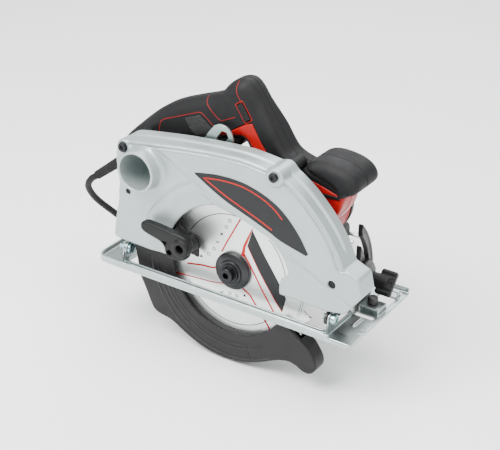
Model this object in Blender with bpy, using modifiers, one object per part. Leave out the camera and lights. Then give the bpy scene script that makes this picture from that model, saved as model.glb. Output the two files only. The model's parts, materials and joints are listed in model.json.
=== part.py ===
"""Hand-held circular saw with a 190 mm blade, built as an assembly.

Frame: metres, +Z up.  The origin is on the underside of the sole plate, in the
middle of its wide side, straight beside the blade arbor.  +X is the cutting
direction, +Y points to the motor side.  All lengths below are millimetres in the
"blade frame": X = 0 at the arbor, Y = 0 in the blade's plane, Z = 0 on the sole.
"""
import bpy
import bmesh
import math
from mathutils import Matrix, Vector

for ob in list(bpy.data.objects):
    bpy.data.objects.remove(ob, do_unlink=True)

# ------------------------------------------------------------------ dimensions
MM = 0.001
BLADE_PLANE = -72.0          # Y of the blade's plane in the part's frame
GAP = 0.3                    # running or resting gap between two pieces
BLADE_R = 95.0               # 190 mm blade
BLADE_T = 1.6
BORE_R = 15.0                # 30 mm bore
TEETH = 24
ARBOR = (0.0, 29.2)          # X, Z
MOTOR = (11.0, 57.1)         # X, Z, 30 mm from the arbor
PIN = (118.6, 57.8)          # X, Z of the depth pivot
BEVEL = (-9.0, 18.0)         # Y, Z of the bevel axis
CLAMP_R = 86.0               # bevel clamp, radius about the bevel axis
CLAMP_ANG = math.radians(4.0)
CLAMP = (BEVEL[0] + CLAMP_R * math.cos(CLAMP_ANG), BEVEL[1] + CLAMP_R * math.sin(CLAMP_ANG))
MODULE = 1.2
GEAR_Z, PINION_Z = 40, 10
SHEET = 2.2                  # sole plate sheet
RAIL_H = 7.3                 # outer flange of the sole plate
LIP_H = 5.2                  # lip around the blade opening
SEAM = 45.0                  # Y of the handle's parting plane
GUARD_NEAR, GUARD_FAR = -15.0, 15.0
GUARD_WALL = 2.7
MOTOR_R = 41.0
CORD_R = 3.75
FLOOR = -76.0                # the surface the saw is put down over

PARTS = bpy.data.collections.new("circular_saw")
CUTTERS = bpy.data.collections.new("cutters")
bpy.context.scene.collection.children.link(PARTS)
bpy.context.scene.collection.children.link(CUTTERS)


# --------------------------------------------------------------------- helpers
def P(x, y, z):
    return Vector((x * MM, (y + BLADE_PLANE) * MM, z * MM))


def material(name, rgb, rough, metal=0.0):
    m = bpy.data.materials.new(name)
    m.use_nodes = True
    b = m.node_tree.nodes["Principled BSDF"]
    b.inputs["Base Color"].default_value = (*rgb, 1.0)
    b.inputs["Roughness"].default_value = rough
    b.inputs["Metallic"].default_value = metal
    return m


FRAMES = {
    "X": Matrix(((0, 0, 1), (1, 0, 0), (0, 1, 0))),    # u = Y, v = Z, w = X
    "Y": Matrix(((1, 0, 0), (0, 0, -1), (0, 1, 0))),   # u = X, v = Z, w = -Y
    "Z": Matrix(((1, 0, 0), (0, 1, 0), (0, 0, 1))),    # u = X, v = Y, w = Z
}


def register(ob, name, cutter, mat):
    ob.name = name
    (CUTTERS if cutter else PARTS).objects.link(ob)
    if cutter:
        ob.hide_render = True
        ob.display_type = "WIRE"
    elif mat:
        ob.data.materials.clear()
        ob.data.materials.append(mat)
    return ob


def curve_to_mesh(cob):
    """Mesh of a curve object with its caps welded, at the same place."""
    bpy.context.scene.collection.objects.link(cob)
    bpy.context.view_layer.update()
    dg = bpy.context.evaluated_depsgraph_get()
    me = bpy.data.meshes.new_from_object(cob.evaluated_get(dg))
    bm = bmesh.new()
    bm.from_mesh(me)
    bmesh.ops.remove_doubles(bm, verts=bm.verts, dist=2e-6)
    bmesh.ops.recalc_face_normals(bm, faces=bm.faces)
    bm.to_mesh(me)
    bm.free()
    mw = cob.matrix_world.copy()
    bpy.data.objects.remove(cob, do_unlink=True)
    ob = bpy.data.objects.new("tmp", me)
    ob.matrix_world = mw
    return ob


def prism(name, loops, a, b, axis="Y", mat=None, cutter=False, edge=0.0, res=0, grow=0.0):
    """Flat outline (outer loop first, then holes) extruded from a to b along axis."""
    if isinstance(loops[0][0], (int, float)):
        loops = [loops]
    cu = bpy.data.curves.new("outline", "CURVE")
    cu.dimensions = "2D"
    cu.fill_mode = "BOTH"
    lo, hi = min(a, b), max(a, b)
    cu.extrude = ((hi - lo) / 2 - edge) * MM
    cu.bevel_depth = edge * MM
    cu.bevel_resolution = res
    cu.offset = (grow - edge) * MM
    for loop in loops:
        sp = cu.splines.new("POLY")
        sp.points.add(len(loop) - 1)
        for p, (u, v) in zip(sp.points, loop):
            p.co = (u * MM, v * MM, 0, 1)
        sp.use_cyclic_u = True
    ob = bpy.data.objects.new("tmp", cu)
    mid = (lo + hi) / 2
    at = {"X": (mid, 0, 0), "Y": (0, mid, 0), "Z": (0, 0, mid)}[axis]
    ob.matrix_world = Matrix.Translation(P(*at)) @ FRAMES[axis].to_4x4()
    return register(curve_to_mesh(ob), name, cutter, mat)


def phase():
    """A different start angle for each turned cutter, so that facets never line up."""
    phase.count += 1
    return Matrix.Rotation(phase.count * 0.377, 4, "Z")


phase.count = 0


def turned(name, profile, axis, centre, mat=None, cutter=False, steps=32, ring=False):
    """Profile of (radius, position along axis) from the high end, down the outside,
    turned about an axis through centre (the other two coordinates)."""
    sgn = -1 if axis == "Y" else 1
    pts = [(r, sgn * t) for r, t in profile]
    if axis == "Y":
        pts = pts[::-1]
    me = bpy.data.meshes.new(name)
    bm = bmesh.new()
    vs = [bm.verts.new((r * MM, 0, t * MM)) for r, t in pts]
    for i in range(len(vs) - 1):
        bm.edges.new((vs[i], vs[i + 1]))
    if ring:
        bm.edges.new((vs[-1], vs[0]))
    bm.to_mesh(me)
    bm.free()
    ob = bpy.data.objects.new("tmp", me)
    at = {"X": (0, centre[0], centre[1]), "Y": (centre[0], 0, centre[1]),
          "Z": (centre[0], centre[1], 0)}[axis]
    ob.matrix_world = Matrix.Translation(P(*at)) @ FRAMES[axis].to_4x4() @ (phase() if cutter else Matrix())
    register(ob, name, cutter, mat)
    s = ob.modifiers.new("turn", "SCREW")
    s.axis = "Z"
    s.angle = math.tau
    s.steps = s.render_steps = steps
    s.use_merge_vertices = True
    s.merge_threshold = 2e-6
    return ob


def rod(name, axis, centre, a, b, r, mat=None, cutter=False, steps=16):
    lo, hi = min(a, b), max(a, b)
    return turned(name, [(0, hi), (r, hi), (r, lo), (0, lo)], axis, centre, mat, cutter, steps)


def pipe(name, axis, centre, a, b, r_in, r_out, mat=None, cutter=False, steps=24):
    lo, hi = min(a, b), max(a, b)
    return turned(name, [(r_in, hi), (r_out, hi), (r_out, lo), (r_in, lo)], axis, centre,
                  mat, cutter, steps, ring=True)


def block(name, x0, x1, y0, y1, z0, z1, mat=None, cutter=False, edge=0.0):
    me = bpy.data.meshes.new(name)
    bm = bmesh.new()
    bmesh.ops.create_cube(bm, size=1.0)
    bmesh.ops.scale(bm, vec=((x1 - x0) * MM, (y1 - y0) * MM, (z1 - z0) * MM), verts=bm.verts)
    bm.to_mesh(me)
    bm.free()
    ob = bpy.data.objects.new("tmp", me)
    ob.location = P((x0 + x1) / 2, (y0 + y1) / 2, (z0 + z1) / 2)
    register(ob, name, cutter, mat)
    if edge:
        m = ob.modifiers.new("edges", "BEVEL")
        m.width = edge * MM
        m.segments = 1
    return ob


def cut(ob, *tools):
    for t in tools:
        m = ob.modifiers.new("cut", "BOOLEAN")
        m.operation = "DIFFERENCE"
        m.solver = "EXACT"
        m.object = t
    return ob


def join(ob, *tools):
    for t in tools:
        m = ob.modifiers.new("join", "BOOLEAN")
        m.operation = "UNION"
        m.solver = "EXACT"
        m.object = t
    return ob


def keep(ob, tool):
    m = ob.modifiers.new("keep", "BOOLEAN")
    m.operation = "INTERSECT"
    m.solver = "EXACT"
    m.object = tool
    return ob


def arc(c, r, a0, a1, n):
    """n + 1 points on a circle, degrees."""
    return [(c[0] + r * math.cos(math.radians(a0 + (a1 - a0) * i / n)),
             c[1] + r * math.sin(math.radians(a0 + (a1 - a0) * i / n))) for i in range(n + 1)]


def circle(c, r, n=24):
    return arc(c, r, 0, 360 - 360 / n, n - 1)


def rounded(pts, r, n=3):
    """Polygon with its corners replaced by arcs of about radius r (one value or a list)."""
    out = []
    k = len(pts)
    for i, p in enumerate(pts):
        rr = r[i] if isinstance(r, (list, tuple)) else r
        a, b, c = Vector(pts[i - 1]), Vector(p), Vector(pts[(i + 1) % k])
        if rr <= 0:
            out.append(tuple(b))
            continue
        u, v = (a - b), (c - b)
        ang = u.angle(v)
        d = min(rr / math.tan(ang / 2), u.length * 0.48, v.length * 0.48)
        p0, p1 = b + u.normalized() * d, b + v.normalized() * d
        for j in range(n + 1):
            t = j / n
            q = p0 * (1 - t) ** 2 + b * 2 * t * (1 - t) + p1 * t * t
            out.append((q.x, q.y))
    return out


def smooth_path(pts, step):
    """Points about `step` apart on a Catmull-Rom curve through pts."""
    v = [Vector(p) for p in pts]
    v = [v[0] * 2 - v[1]] + v + [v[-1] * 2 - v[-2]]
    dense = []
    for i in range(1, len(v) - 2):
        p0, p1, p2, p3 = v[i - 1:i + 3]
        for j in range(40):
            t = j / 40
            dense.append(0.5 * ((2 * p1) + (p2 - p0) * t + (2 * p0 - 5 * p1 + 4 * p2 - p3) * t * t
                                + (3 * p1 - p0 - 3 * p2 + p3) * t ** 3))
    dense.append(v[-2])
    total = sum((b - a).length for a, b in zip(dense, dense[1:]))
    n = max(2, round(total / step))
    out, want, run = [dense[0]], total / n, 0.0
    for a, b in zip(dense, dense[1:]):
        run += (b - a).length
        if run >= want * len(out) and len(out) < n:
            out.append(b)
    out.append(dense[-1])
    return out


def tube(name, pts, radius, mat=None, res=2):
    cu = bpy.data.curves.new(name, "CURVE")
    cu.dimensions = "3D"
    cu.bevel_depth = radius * MM
    cu.bevel_resolution = res
    cu.use_fill_caps = True
    sp = cu.splines.new("POLY")
    sp.points.add(len(pts) - 1)
    for p, q in zip(sp.points, pts):
        p.co = (*P(*q), 1)
    ob = bpy.data.objects.new("tmp", cu)
    return register(curve_to_mesh(ob), name, False, mat)


# ------------------------------------------------------------------- materials
SILVER = material("cast_silver", (0.56, 0.61, 0.60), 0.38, 0.55)
ZINC = material("zinc_sheet", (0.47, 0.51, 0.50), 0.35, 0.9)
BLUEZINC = material("blue_zinc", (0.40, 0.52, 0.55), 0.3, 0.95)
BLACKSTEEL = material("black_steel", (0.035, 0.033, 0.032), 0.4, 0.4)
DARK = material("dark_plastic", (0.055, 0.055, 0.055), 0.5)
SOFT = material("soft_grip", (0.05, 0.05, 0.05), 0.62)
RED = material("red_plastic", (0.50, 0.022, 0.015), 0.32)
GREYPL = material("guard_plastic", (0.075, 0.07, 0.075), 0.45)
STEEL = material("steel", (0.62, 0.62, 0.60), 0.25, 1.0)
BLADE = material("blade_steel", (0.66, 0.68, 0.67), 0.28, 1.0)
COPPER = material("copper", (0.75, 0.32, 0.14), 0.3, 1.0)
RUBBER = material("rubber", (0.025, 0.025, 0.025), 0.7)
LABEL = material("label", (0.05, 0.055, 0.055), 0.35)

# ------------------------------------------------------------------ sole plate
X0, X1, Y0, Y1 = -159.0, 148.0, -23.3, 110.0
OX0, OX1, OY0, OY1 = -128.0, 117.0, -12.0, 38.0
outer = rounded([(X0, Y0), (X1 - 6, Y0), (X1, Y0 + 4), (X1, 4), (X1 - 6, 5), (X1, 6.4), (X1, 11.6),
                 (X1 - 6, 13), (X1, 14), (X1, Y1), (X0, Y1)],
                [14, 1, 1, 0, 0, 0, 0, 0, 0, 7, 12])
opening = rounded([(OX0, OY0), (OX1, OY0), (OX1, OY1), (OX0, OY1)], 9)
GX0, GX1 = 121.5, 141.5
win_a = [(GX0, 36.5), (GX1, 36.5), (GX1, 42), (GX0, 42)]
win_b = rounded([(GX0 + 2, 68), (GX1, 68), (GX1, 89), (GX0 + 2, 89)], 2, 1)
win_c = rounded([(GX0 + 2, 98), (GX1, 98), (GX1, 106), (GX0 + 2, 106)], 2, 1)
sole = prism("sole_plate", [outer, opening, win_a, win_b, win_c], 0, SHEET, "Z", ZINC)
# outer flange: round the rear, along both sides to just behind the front
flange_out = rounded([(X0, Y0), (124, Y0), (124, Y1), (X0, Y1)], [14, 0, 0, 12])
flange_in = rounded([(X0 + SHEET, Y0 + SHEET), (126, Y0 + SHEET), (126, Y1 - SHEET),
                     (X0 + SHEET, Y1 - SHEET)], [12, 0, 0, 10])
flange = prism("flange_form", [flange_out], 1.0, RAIL_H, "Z", cutter=True)
cut(flange, prism("flange_core", [flange_in], 0.5, RAIL_H + 1, "Z", cutter=True))
low = block("front_flange_form", 122, 147.4, Y0, Y0 + SHEET, 1.0, 4.6, cutter=True)
far = block("far_flange_form", 122, 147, Y1 - SHEET, Y1, 1.0, RAIL_H, cutter=True)
lip = prism("lip_form", [rounded([(OX0 - SHEET, OY0 - SHEET), (OX1 + SHEET, OY0 - SHEET),
                                  (OX1 + SHEET, OY1 + SHEET), (OX0 - SHEET, OY1 + SHEET)], 11)],
            1.0, LIP_H, "Z", cutter=True)
cut(lip, prism("lip_core", [opening], 0.5, LIP_H + 1, "Z", cutter=True))


def ear(name, x0, x1):
    """Turned-up ear with the hole for a bevel pivot bolt."""
    loop = [(-15.6, 3)] + arc(BEVEL, 6.6, 180, 0, 8) + [(-2.4, 3)]
    e = prism(name, [loop, circle(BEVEL, 3.5, 16)], x0, x1, "X", cutter=True)
    return e


front_ear = ear("front_ear_form", OX1 + 0.1, OX1 + SHEET)
rear_ear = ear("rear_ear_form", OX0 - SHEET, OX0 - 0.1)
# raised strap over the parallel guide's slot, and a bead along the front edge
strap = block("strap_form", GX0 - 1.6, GX1 + 1.6, 46, 64, 1.0, 9.2, cutter=True)
cut(strap, block("strap_tunnel", GX0 + 0.6, GX1 - 0.6, 45, 65, SHEET, 7.0, cutter=True))
strap2 = block("strap2_form", GX0 - 1.6, GX1 + 1.6, 90.5, 96.5, 1.0, 9.2, cutter=True)
cut(strap2, block("strap2_tunnel", GX0 + 0.6, GX1 - 0.6, 90, 97, SHEET, 7.0, cutter=True))
join(sole, flange, low, far, lip, front_ear, rear_ear, strap, strap2)
cut(sole, rod("guide_thread", "Z", (GX0 + 10, 55), 6, 12, 3.2, cutter=True, steps=16))

guide_screw = turned("guide_clamp_screw", [(0, 17), (4.6, 17), (5.4, 16), (5.4, 10.2), (2.9, 9.9),
                                           (2.9, 7.2), (0, 7.2)], "Z", (GX0 + 10, 55), BLACKSTEEL, steps=16)

# bevel quadrant: upright cast sector on the sole plate, slotted for the clamp
QX0, QX1 = 107.0, 112.6
quad_loop = arc(BEVEL, 99, -5.5, 55.5, 16) + arc(BEVEL, 69.4, 55.5, -2.5, 14) + [(60.2, SHEET + GAP), (89.4, SHEET + GAP)]
slot = arc(BEVEL, 89.4, 0.5, 52, 12) + arc(BEVEL, 82.6, 52, 0.5, 12)
quadrant = prism("bevel_quadrant", [quad_loop, slot], QX0, QX1, "X", BLACKSTEEL)
foot = block("quadrant_foot_form", QX0 - 5, QX1, 59, 90.5, SHEET + GAP + 0.1, 6.0, cutter=True)
join(quadrant, foot)

# --------------------------------------------------------------- tilting frame
BX0, BX1 = 113.6, 116.4
br = arc(BEVEL, 7.2, 180, 250, 4) + [(0, 9.4), (84, 9.4), (88, 14), (88, 30), (83, 38),
     (74, 47), (64, 47), (56, 40), (48, 36), (24, 36), (19.6, 40), (19.6, 46), (16.2, 46), (16.2, 24.4), (0, 24.2)] \
    + arc(BEVEL, 6.6, 60, 175, 6)
bracket = prism("front_bracket", [br, circle(BEVEL, 3.5, 16)], BX0, BX1, "X", BLACKSTEEL)
lug = prism("lug_form", [[(105, 30), (116.4, 9.4), (124, 30), (128.6, 57.8)]
                         + arc(PIN, 10, 0, 180, 8)[1:], circle(PIN, 4.3, 16)], 15.9, 18.6, "Y", cutter=True)
join(bracket, lug)
cut(bracket, rod("clamp_hole", "X", CLAMP, BX0 - 2, BX1 + 2, 3.5, cutter=True, steps=16))

pivot_front = turned("front_pivot_bolt", [(0, 125.0), (3.4, 125.0), (5.6, 124.0), (5.6, 119.6), (3.1, 119.6),
                                          (3.1, 110.2), (0, 110.2)], "X", BEVEL, BLUEZINC, steps=20)
pivot_rear = turned("rear_pivot_bolt", [(0, -121.6), (4.4, -121.6), (5.8, -122.4), (5.8, -124.6), (3.1, -124.6),
                                        (3.1, -136.5), (0, -136.5)], "X", BEVEL, BLUEZINC, steps=20)

# depth arc: slotted strip on an arc about the depth pin, with its foot and rear tab
body_loop = arc(PIN, 197.0, 188.5, 148, 18) \
    + arc((PIN[0] + 183 * math.cos(math.radians(146.2)), PIN[1] + 183 * math.sin(math.radians(146.2))),
          14.0, 148, -26, 9)[1:-1] \
    + arc(PIN, 169.0, 146.2, 190, 18) + [(-49, 22), (-50, 8.6), (-129.4, 8.6), (-129.4, 24), (-90, 24)]
arc_slot = arc(PIN, 186.8, 188, 144.2, 18) + arc(PIN, 182.0, 143.4, 143.4, 1) + arc(PIN, 177.0, 144.2, 188, 18)
depth_arc = prism("depth_arc_bracket", [body_loop, arc_slot], 18.6, 21.4, "Y", ZINC)
tab = prism("rear_tab_form", [[(-16.2, 18)] + arc(BEVEL, 7.2, 180, 250, 4) + [(0, 8.6), (21.4, 8.6), (21.4, 24), (-4, 24)]
                              + arc(BEVEL, 7.2, 60, 180, 6)[:-1], circle(BEVEL, 3.5, 16)],
            -127.6, -124.9, "X", cutter=True)
tab_link = block("rear_link_form", -129.4, -124.9, 18.6, 21.4, 8.6, 24, cutter=True)
join(depth_arc, tab_link, tab)

pin = turned("depth_pivot_pin", [(0, 21.8), (5.6, 21.8), (6.2, 21.2), (6.2, 18.9), (3.9, 18.9), (3.9, 11.8),
                                 (6.6, 11.8), (6.6, 9.4), (6.0, 8.8), (0, 8.8)], "Y", PIN, STEEL, steps=20)
bevel_bolt = turned("bevel_clamp_bolt", [(0, 141.0), (3.0, 141.0), (3.0, 106.4), (7.5, 106.4), (6.4, 104.0),
                                         (3.6, 102.6), (0, 102.2)], "X", CLAMP, ZINC, steps=20)

# bevel knob: hub with a broad wing, on the bolt's thread
knob = turned("bevel_knob", [(3.3, 137.5), (6.0, 137.5), (7.2, 136.0), (7.6, 120.0), (8.4, 118.8), (3.3, 118.8)],
              "X", CLAMP, DARK, steps=20, ring=True)
ca = math.radians(51)
wing = prism("wing_form", [rounded([(-13.5, -3.6), (13.5, -3.6), (13.5, 3.6), (-13.5, 3.6)], 3, 2)],
             126, 143.5, "X", cutter=True)
wing.matrix_world = Matrix.Translation(P(134.75, CLAMP[0], CLAMP[1])) @ Matrix.Rotation(ca, 4, "X") @ FRAMES["X"].to_4x4()
join(knob, wing)
cut(knob, rod("knob_bore", "X", CLAMP, 117, 141.6, 3.35, cutter=True, steps=20))

# ----------------------------------------------------------------- upper guard
near_top = [(-142, 33), (-139.5, 56), (-134, 77), (-136, 90), (-141, 113), (-141.5, 130), (-137, 138),
            (-125, 146), (-96, 151), (-66, 155.4), (-36, 158.6), (-12, 160.6), (10, 161.6), (33, 159.5),
            (48, 157.6), (61, 153), (78, 142), (92, 130.5), (107.5, 114), (119.7, 96.6), (129.4, 77),
            (146, 71), (151, 53), (143, 42), (134.5, 30), (116, 26.8)]
hub_low = arc(ARBOR, 29.4, -5.0, -175.0, 10)
full = near_top + [(100, 26.6), (29.4, 26.6)] + hub_low[1:-1] + [(-29.4, 27.4), (-94, 27.4), (-138, 28.8)]
casing = prism("upper_guard", [full], GUARD_NEAR, GUARD_FAR, "Y", SILVER, edge=2.2, res=0)
# blade chamber, open downwards, and the chip duct behind it
chamber = arc(ARBOR, 123.6, -10, 190, 28) + [(-121.5, -10), (121.5, -10)]
cut(casing, prism("chamber_form", [chamber], GUARD_NEAR + GUARD_WALL, GUARD_FAR - GUARD_WALL, "Y", cutter=True))
PORT = (-104.0, 119.5)
cut(casing, rod("duct_form", "Y", PORT, GUARD_NEAR - 5, GUARD_FAR - GUARD_WALL - 0.4, 19.0, cutter=True, steps=20))
# window in the near wall around the arbor, open at the bottom
window = arc(ARBOR, 74.0, 48.4, 12.0, 8)[::-1]
window = [(61.6, 20), (60.0, 35.4), (61.6, 45), (69, 52)] + arc(ARBOR, 74.0, 20, 49, 7) \
    + [(25.8, 93.5), (0, 99.5)] + arc(ARBOR, 75.0, 103, 156, 12) + [(-72.8, 41.3), (-74, 33), (-78, 20)]
cut(casing, prism("window_form", [window], GUARD_NEAR - 3, GUARD_NEAR + GUARD_WALL + 0.4, "Y", cutter=True))
cut(casing, block("near_skirt_cut", -31, 31, GUARD_NEAR - 3, GUARD_NEAR + GUARD_WALL + 0.4, -5, 32, cutter=True))
cut(casing, rod("nose_hole", "Y", ARBOR, 10, 17, 19.5, cutter=True, steps=24))
cut(casing, rod("pin_hole", "Y", PIN, -17, 17, 4.3, cutter=True, steps=16))
pocket = rod("pin_pocket", "Y", PIN, 6.5, 12.3, 7.6, cutter=True, steps=20)
cut(casing, pocket)
cut(casing, rod("depth_bolt_hole", "Y", (-64, 57.8), 11, 17, 3.4, cutter=True, steps=16))
SCREW_R, SCREW_F = (-129.0, 136.0), (49.4, 152.6)
cut(casing, rod("rear_screw_hole", "Y", SCREW_R, -17, 17, 2.7, cutter=True, steps=12))
join(casing, pipe("port_form", "Y", PORT, -30.0, GUARD_NEAR + 1.0, 19.0, 22.0, cutter=True, steps=20))
# the front screw stands in a boss on the rim
boss = rod("boss_form", "Y", (49.4, 151.6), GUARD_NEAR - 0.6, GUARD_FAR - 0.5, 9.6, cutter=True, steps=16)
join(casing, boss)
cut(casing, rod("front_screw_hole", "Y", SCREW_F, -17, 17, 2.7, cutter=True, steps=12))

lab = rounded([(-41.8, 131.5), (-16, 135.5), (12.7, 135.2), (38, 128.7), (58.7, 118), (77.6, 100.2), (91, 81.8),
               (89, 80), (60.6, 87.3), (47, 93.0), (25.8, 100.9), (-9.5, 113.7)], 3, 2)
label = prism("guard_label", [lab], GUARD_NEAR - 1.3, GUARD_NEAR - GAP, "Y", LABEL)


def head_screw(name, axis, c, head, tip, rh, rs, hh, mat, steps=10):
    """Pan-head screw; head is the outer face of the head, tip the far end of the shank."""
    s = 1 if head > tip else -1
    prof = [(0, head), (rh * 0.75, head), (rh, head - s * hh * 0.4), (rh, head - s * hh), (rs, head - s * hh),
            (rs, tip), (0, tip)]
    if s < 0:
        prof = prof[::-1]
    return turned(name, prof, axis, c, mat, steps=steps)


scr_r = head_screw("guard_screw_rear", "Y", SCREW_R, -18.4, 33.0, 4.9, 2.3, 3.0, BLACKSTEEL)
scr_f = head_screw("guard_screw_front", "Y", SCREW_F, -19.0, 33.0, 4.9, 2.3, 3.0, BLACKSTEEL)

# ------------------------------------------------------- gear housing and train
gh_loop = arc(ARBOR, 28.0, 118, 350, 22) + arc(MOTOR, 31.0, -38, 160, 20)
gear_case = prism("gear_housing", [gh_loop], 15.3, 30.2, "Y", DARK)
join(gear_case, rod("nose_form", "Y", ARBOR, 6.6, 17.0, 19.0, cutter=True, steps=24))
cut(gear_case, rod("gear_room", "Y", ARBOR, 19.0, 32.0, 25.95, cutter=True, steps=28),
    rod("pinion_room", "Y", MOTOR, 19.0, 32.0, 9.0, cutter=True, steps=20),
    rod("bearing_seat", "Y", ARBOR, 5.0, 16.6, 14.4, cutter=True, steps=24),
    rod("seat_shoulder", "Y", ARBOR, 16.0, 20.0, 10.0, cutter=True, steps=24),
    rod("case_light_a", "Y", (MOTOR[0] + 19.5, MOTOR[1] + 4), 18.6, 32.0, 7.0, cutter=True, steps=8),
    rod("case_light_b", "Y", (MOTOR[0] + 4, MOTOR[1] + 19.5), 18.3, 32.0, 7.0, cutter=True, steps=8))

plate_loop = arc(ARBOR, 28.0, 126, 216, 8) + arc(ARBOR, 28.0, 324, 344, 2) + arc(MOTOR, 36.5, -28, 158, 20)
plate = prism("bearing_plate", [plate_loop], 30.5, 40.0, "Y", STEEL)
cut(plate, rod("rear_bearing_seat", "Y", ARBOR, 29.0, 37.6, 11.3, cutter=True, steps=24),
    rod("armature_bearing_seat", "Y", MOTOR, 32.4, 42.0, 11.3, cutter=True, steps=24),
    rod("shaft_way", "Y", MOTOR, 29.0, 33.0, 7.8, cutter=True, steps=20))

bearing1 = pipe("spindle_bearing_front", "Y", ARBOR, 8.0, 16.3, 6.3, 14.0, STEEL)
bearing2 = pipe("spindle_bearing_rear", "Y", ARBOR, 30.8, 37.3, 4.3, 11.0, STEEL, steps=24)
bearing3 = pipe("armature_bearing_front", "Y", MOTOR, 32.7, 39.7, 4.4, 11.0, STEEL, steps=24)
bearing4 = pipe("armature_bearing_rear", "Y", MOTOR, 145.6, 151.4, 4.4, 9.5, STEEL, steps=24)


def gear_loop(z, root, tip, w_root, w_tip, phase, c):
    """Trapezoid teeth; widths along the arc in mm, phase in degrees of the first tooth."""
    out = []
    for i in range(z):
        a = math.radians(phase + 360.0 * i / z)
        for r, w in ((root, -w_root), (tip, -w_tip), (tip, w_tip), (root, w_root)):
            out.append((c[0] + r * math.cos(a + w / 2 / r), c[1] + r * math.sin(a + w / 2 / r)))
    return out


LINE = math.degrees(math.atan2(MOTOR[1] - ARBOR[1], MOTOR[0] - ARBOR[0]))   # arbor to motor
R_GEAR, R_PIN = MODULE * GEAR_Z / 2, MODULE * PINION_Z / 2
gear = prism("drive_gear", [gear_loop(GEAR_Z, R_GEAR - 1.35, R_GEAR + 0.85, 1.9, 0.8, LINE + 360 / GEAR_Z / 2, ARBOR),
                            circle(ARBOR, 6.3, 24)], 21.5, 29.0, "Y", STEEL)

spindle = turned("spindle", [(0, 38.6 - 1.3), (4.0, 37.3), (4.0, 30.4), (6.0, 30.4), (6.0, -0.9), (4.1, -0.9),
                             (4.1, 8.0), (0, 8.0)], "Y", ARBOR, STEEL, steps=24)
inner_flange = turned("inner_flange", [(6.3, 6.1), (20.0, 6.1), (20.0, 1.1), (14.7, 1.1), (14.7, -0.5), (6.3, -0.5)],
                      "Y", ARBOR, STEEL, ring=True)


def blade_loop():
    out = []
    for i in range(TEETH):
        a = -360.0 * i / TEETH
        for r, d in ((BLADE_R, 0.0), (BLADE_R - 0.7, -2.0), (BLADE_R - 4.5, -7.0), (BLADE_R - 9.8, -10.4),
                     (BLADE_R - 9.4, -12.8), (BLADE_R - 4.0, -14.3)):
            t = math.radians(a + d)
            out.append((ARBOR[0] + r * math.cos(t), ARBOR[1] + r * math.sin(t)))
    return out[::-1]


blade = prism("saw_blade", [blade_loop(), circle(ARBOR, BORE_R, 36)], -BLADE_T / 2, BLADE_T / 2, "Y", BLADE)
outer_flange = turned("outer_flange", [(4.3, -1.2), (20.3, -1.2), (20.3, -5.0), (15.0, -7.4), (12.5, -9.4), (4.3, -9.4)],
                      "Y", ARBOR, BLACKSTEEL, ring=True)
bolt = turned("spindle_bolt", [(0, 7.0), (3.7, 7.0), (3.7, -9.8), (10.5, -9.8), (10.5, -11.6), (7.6, -12.0),
                               (7.6, -16.4), (7.0, -17.0), (0, -17.0)], "Y", ARBOR, BLACKSTEEL, steps=24)

# armature
shaft = turned("armature_shaft", [(0, 151.8), (4.0, 151.8), (4.0, 144.0), (5.0, 144.0), (5.0, 40.4), (4.0, 40.4),
                                  (4.0, 30.0), (4.6, 30.0), (4.6, 20.2), (0, 20.2)], "Y", MOTOR, STEEL, steps=20)
teeth = prism("pinion_form", [gear_loop(PINION_Z, R_PIN - 1.5, R_PIN + 0.9, 1.9, 0.8, LINE + 180, MOTOR)],
              20.6, 30.1, "Y", cutter=True)
join(shaft, teeth)
core = turned("armature_core", [(5.3, 116), (16, 115), (18, 109), (15, 104), (20.5, 104), (20.5, 64), (15, 64), (18, 59), (17, 54),
                                (5.3, 52)], "Y", MOTOR, STEEL, steps=24, ring=True)
commutator = pipe("commutator", "Y", MOTOR, 117.0, 135.0, 5.3, 12.5, COPPER, steps=24)

fan = turned("cooling_fan", [(5.3, 51.0), (12, 51.0), (12, 46.0), (33, 43.4), (33, 41.6), (5.3, 41.6)], "Y", MOTOR, DARK,
             steps=32, ring=True)
for i in range(10):
    a = math.radians(36 * i)
    v = prism("fan_vane_%02d" % i, [[(10.5, -0.8), (32.2, -0.8), (32.2, 0.8), (10.5, 0.8)]], 42.4, 50.2, "Y", cutter=True)
    v.matrix_world = Matrix.Translation(P(MOTOR[0], 46.3, MOTOR[1])) @ Matrix.Rotation(-a, 4, "Y") @ FRAMES["Y"].to_4x4()
    join(fan, v)

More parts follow.
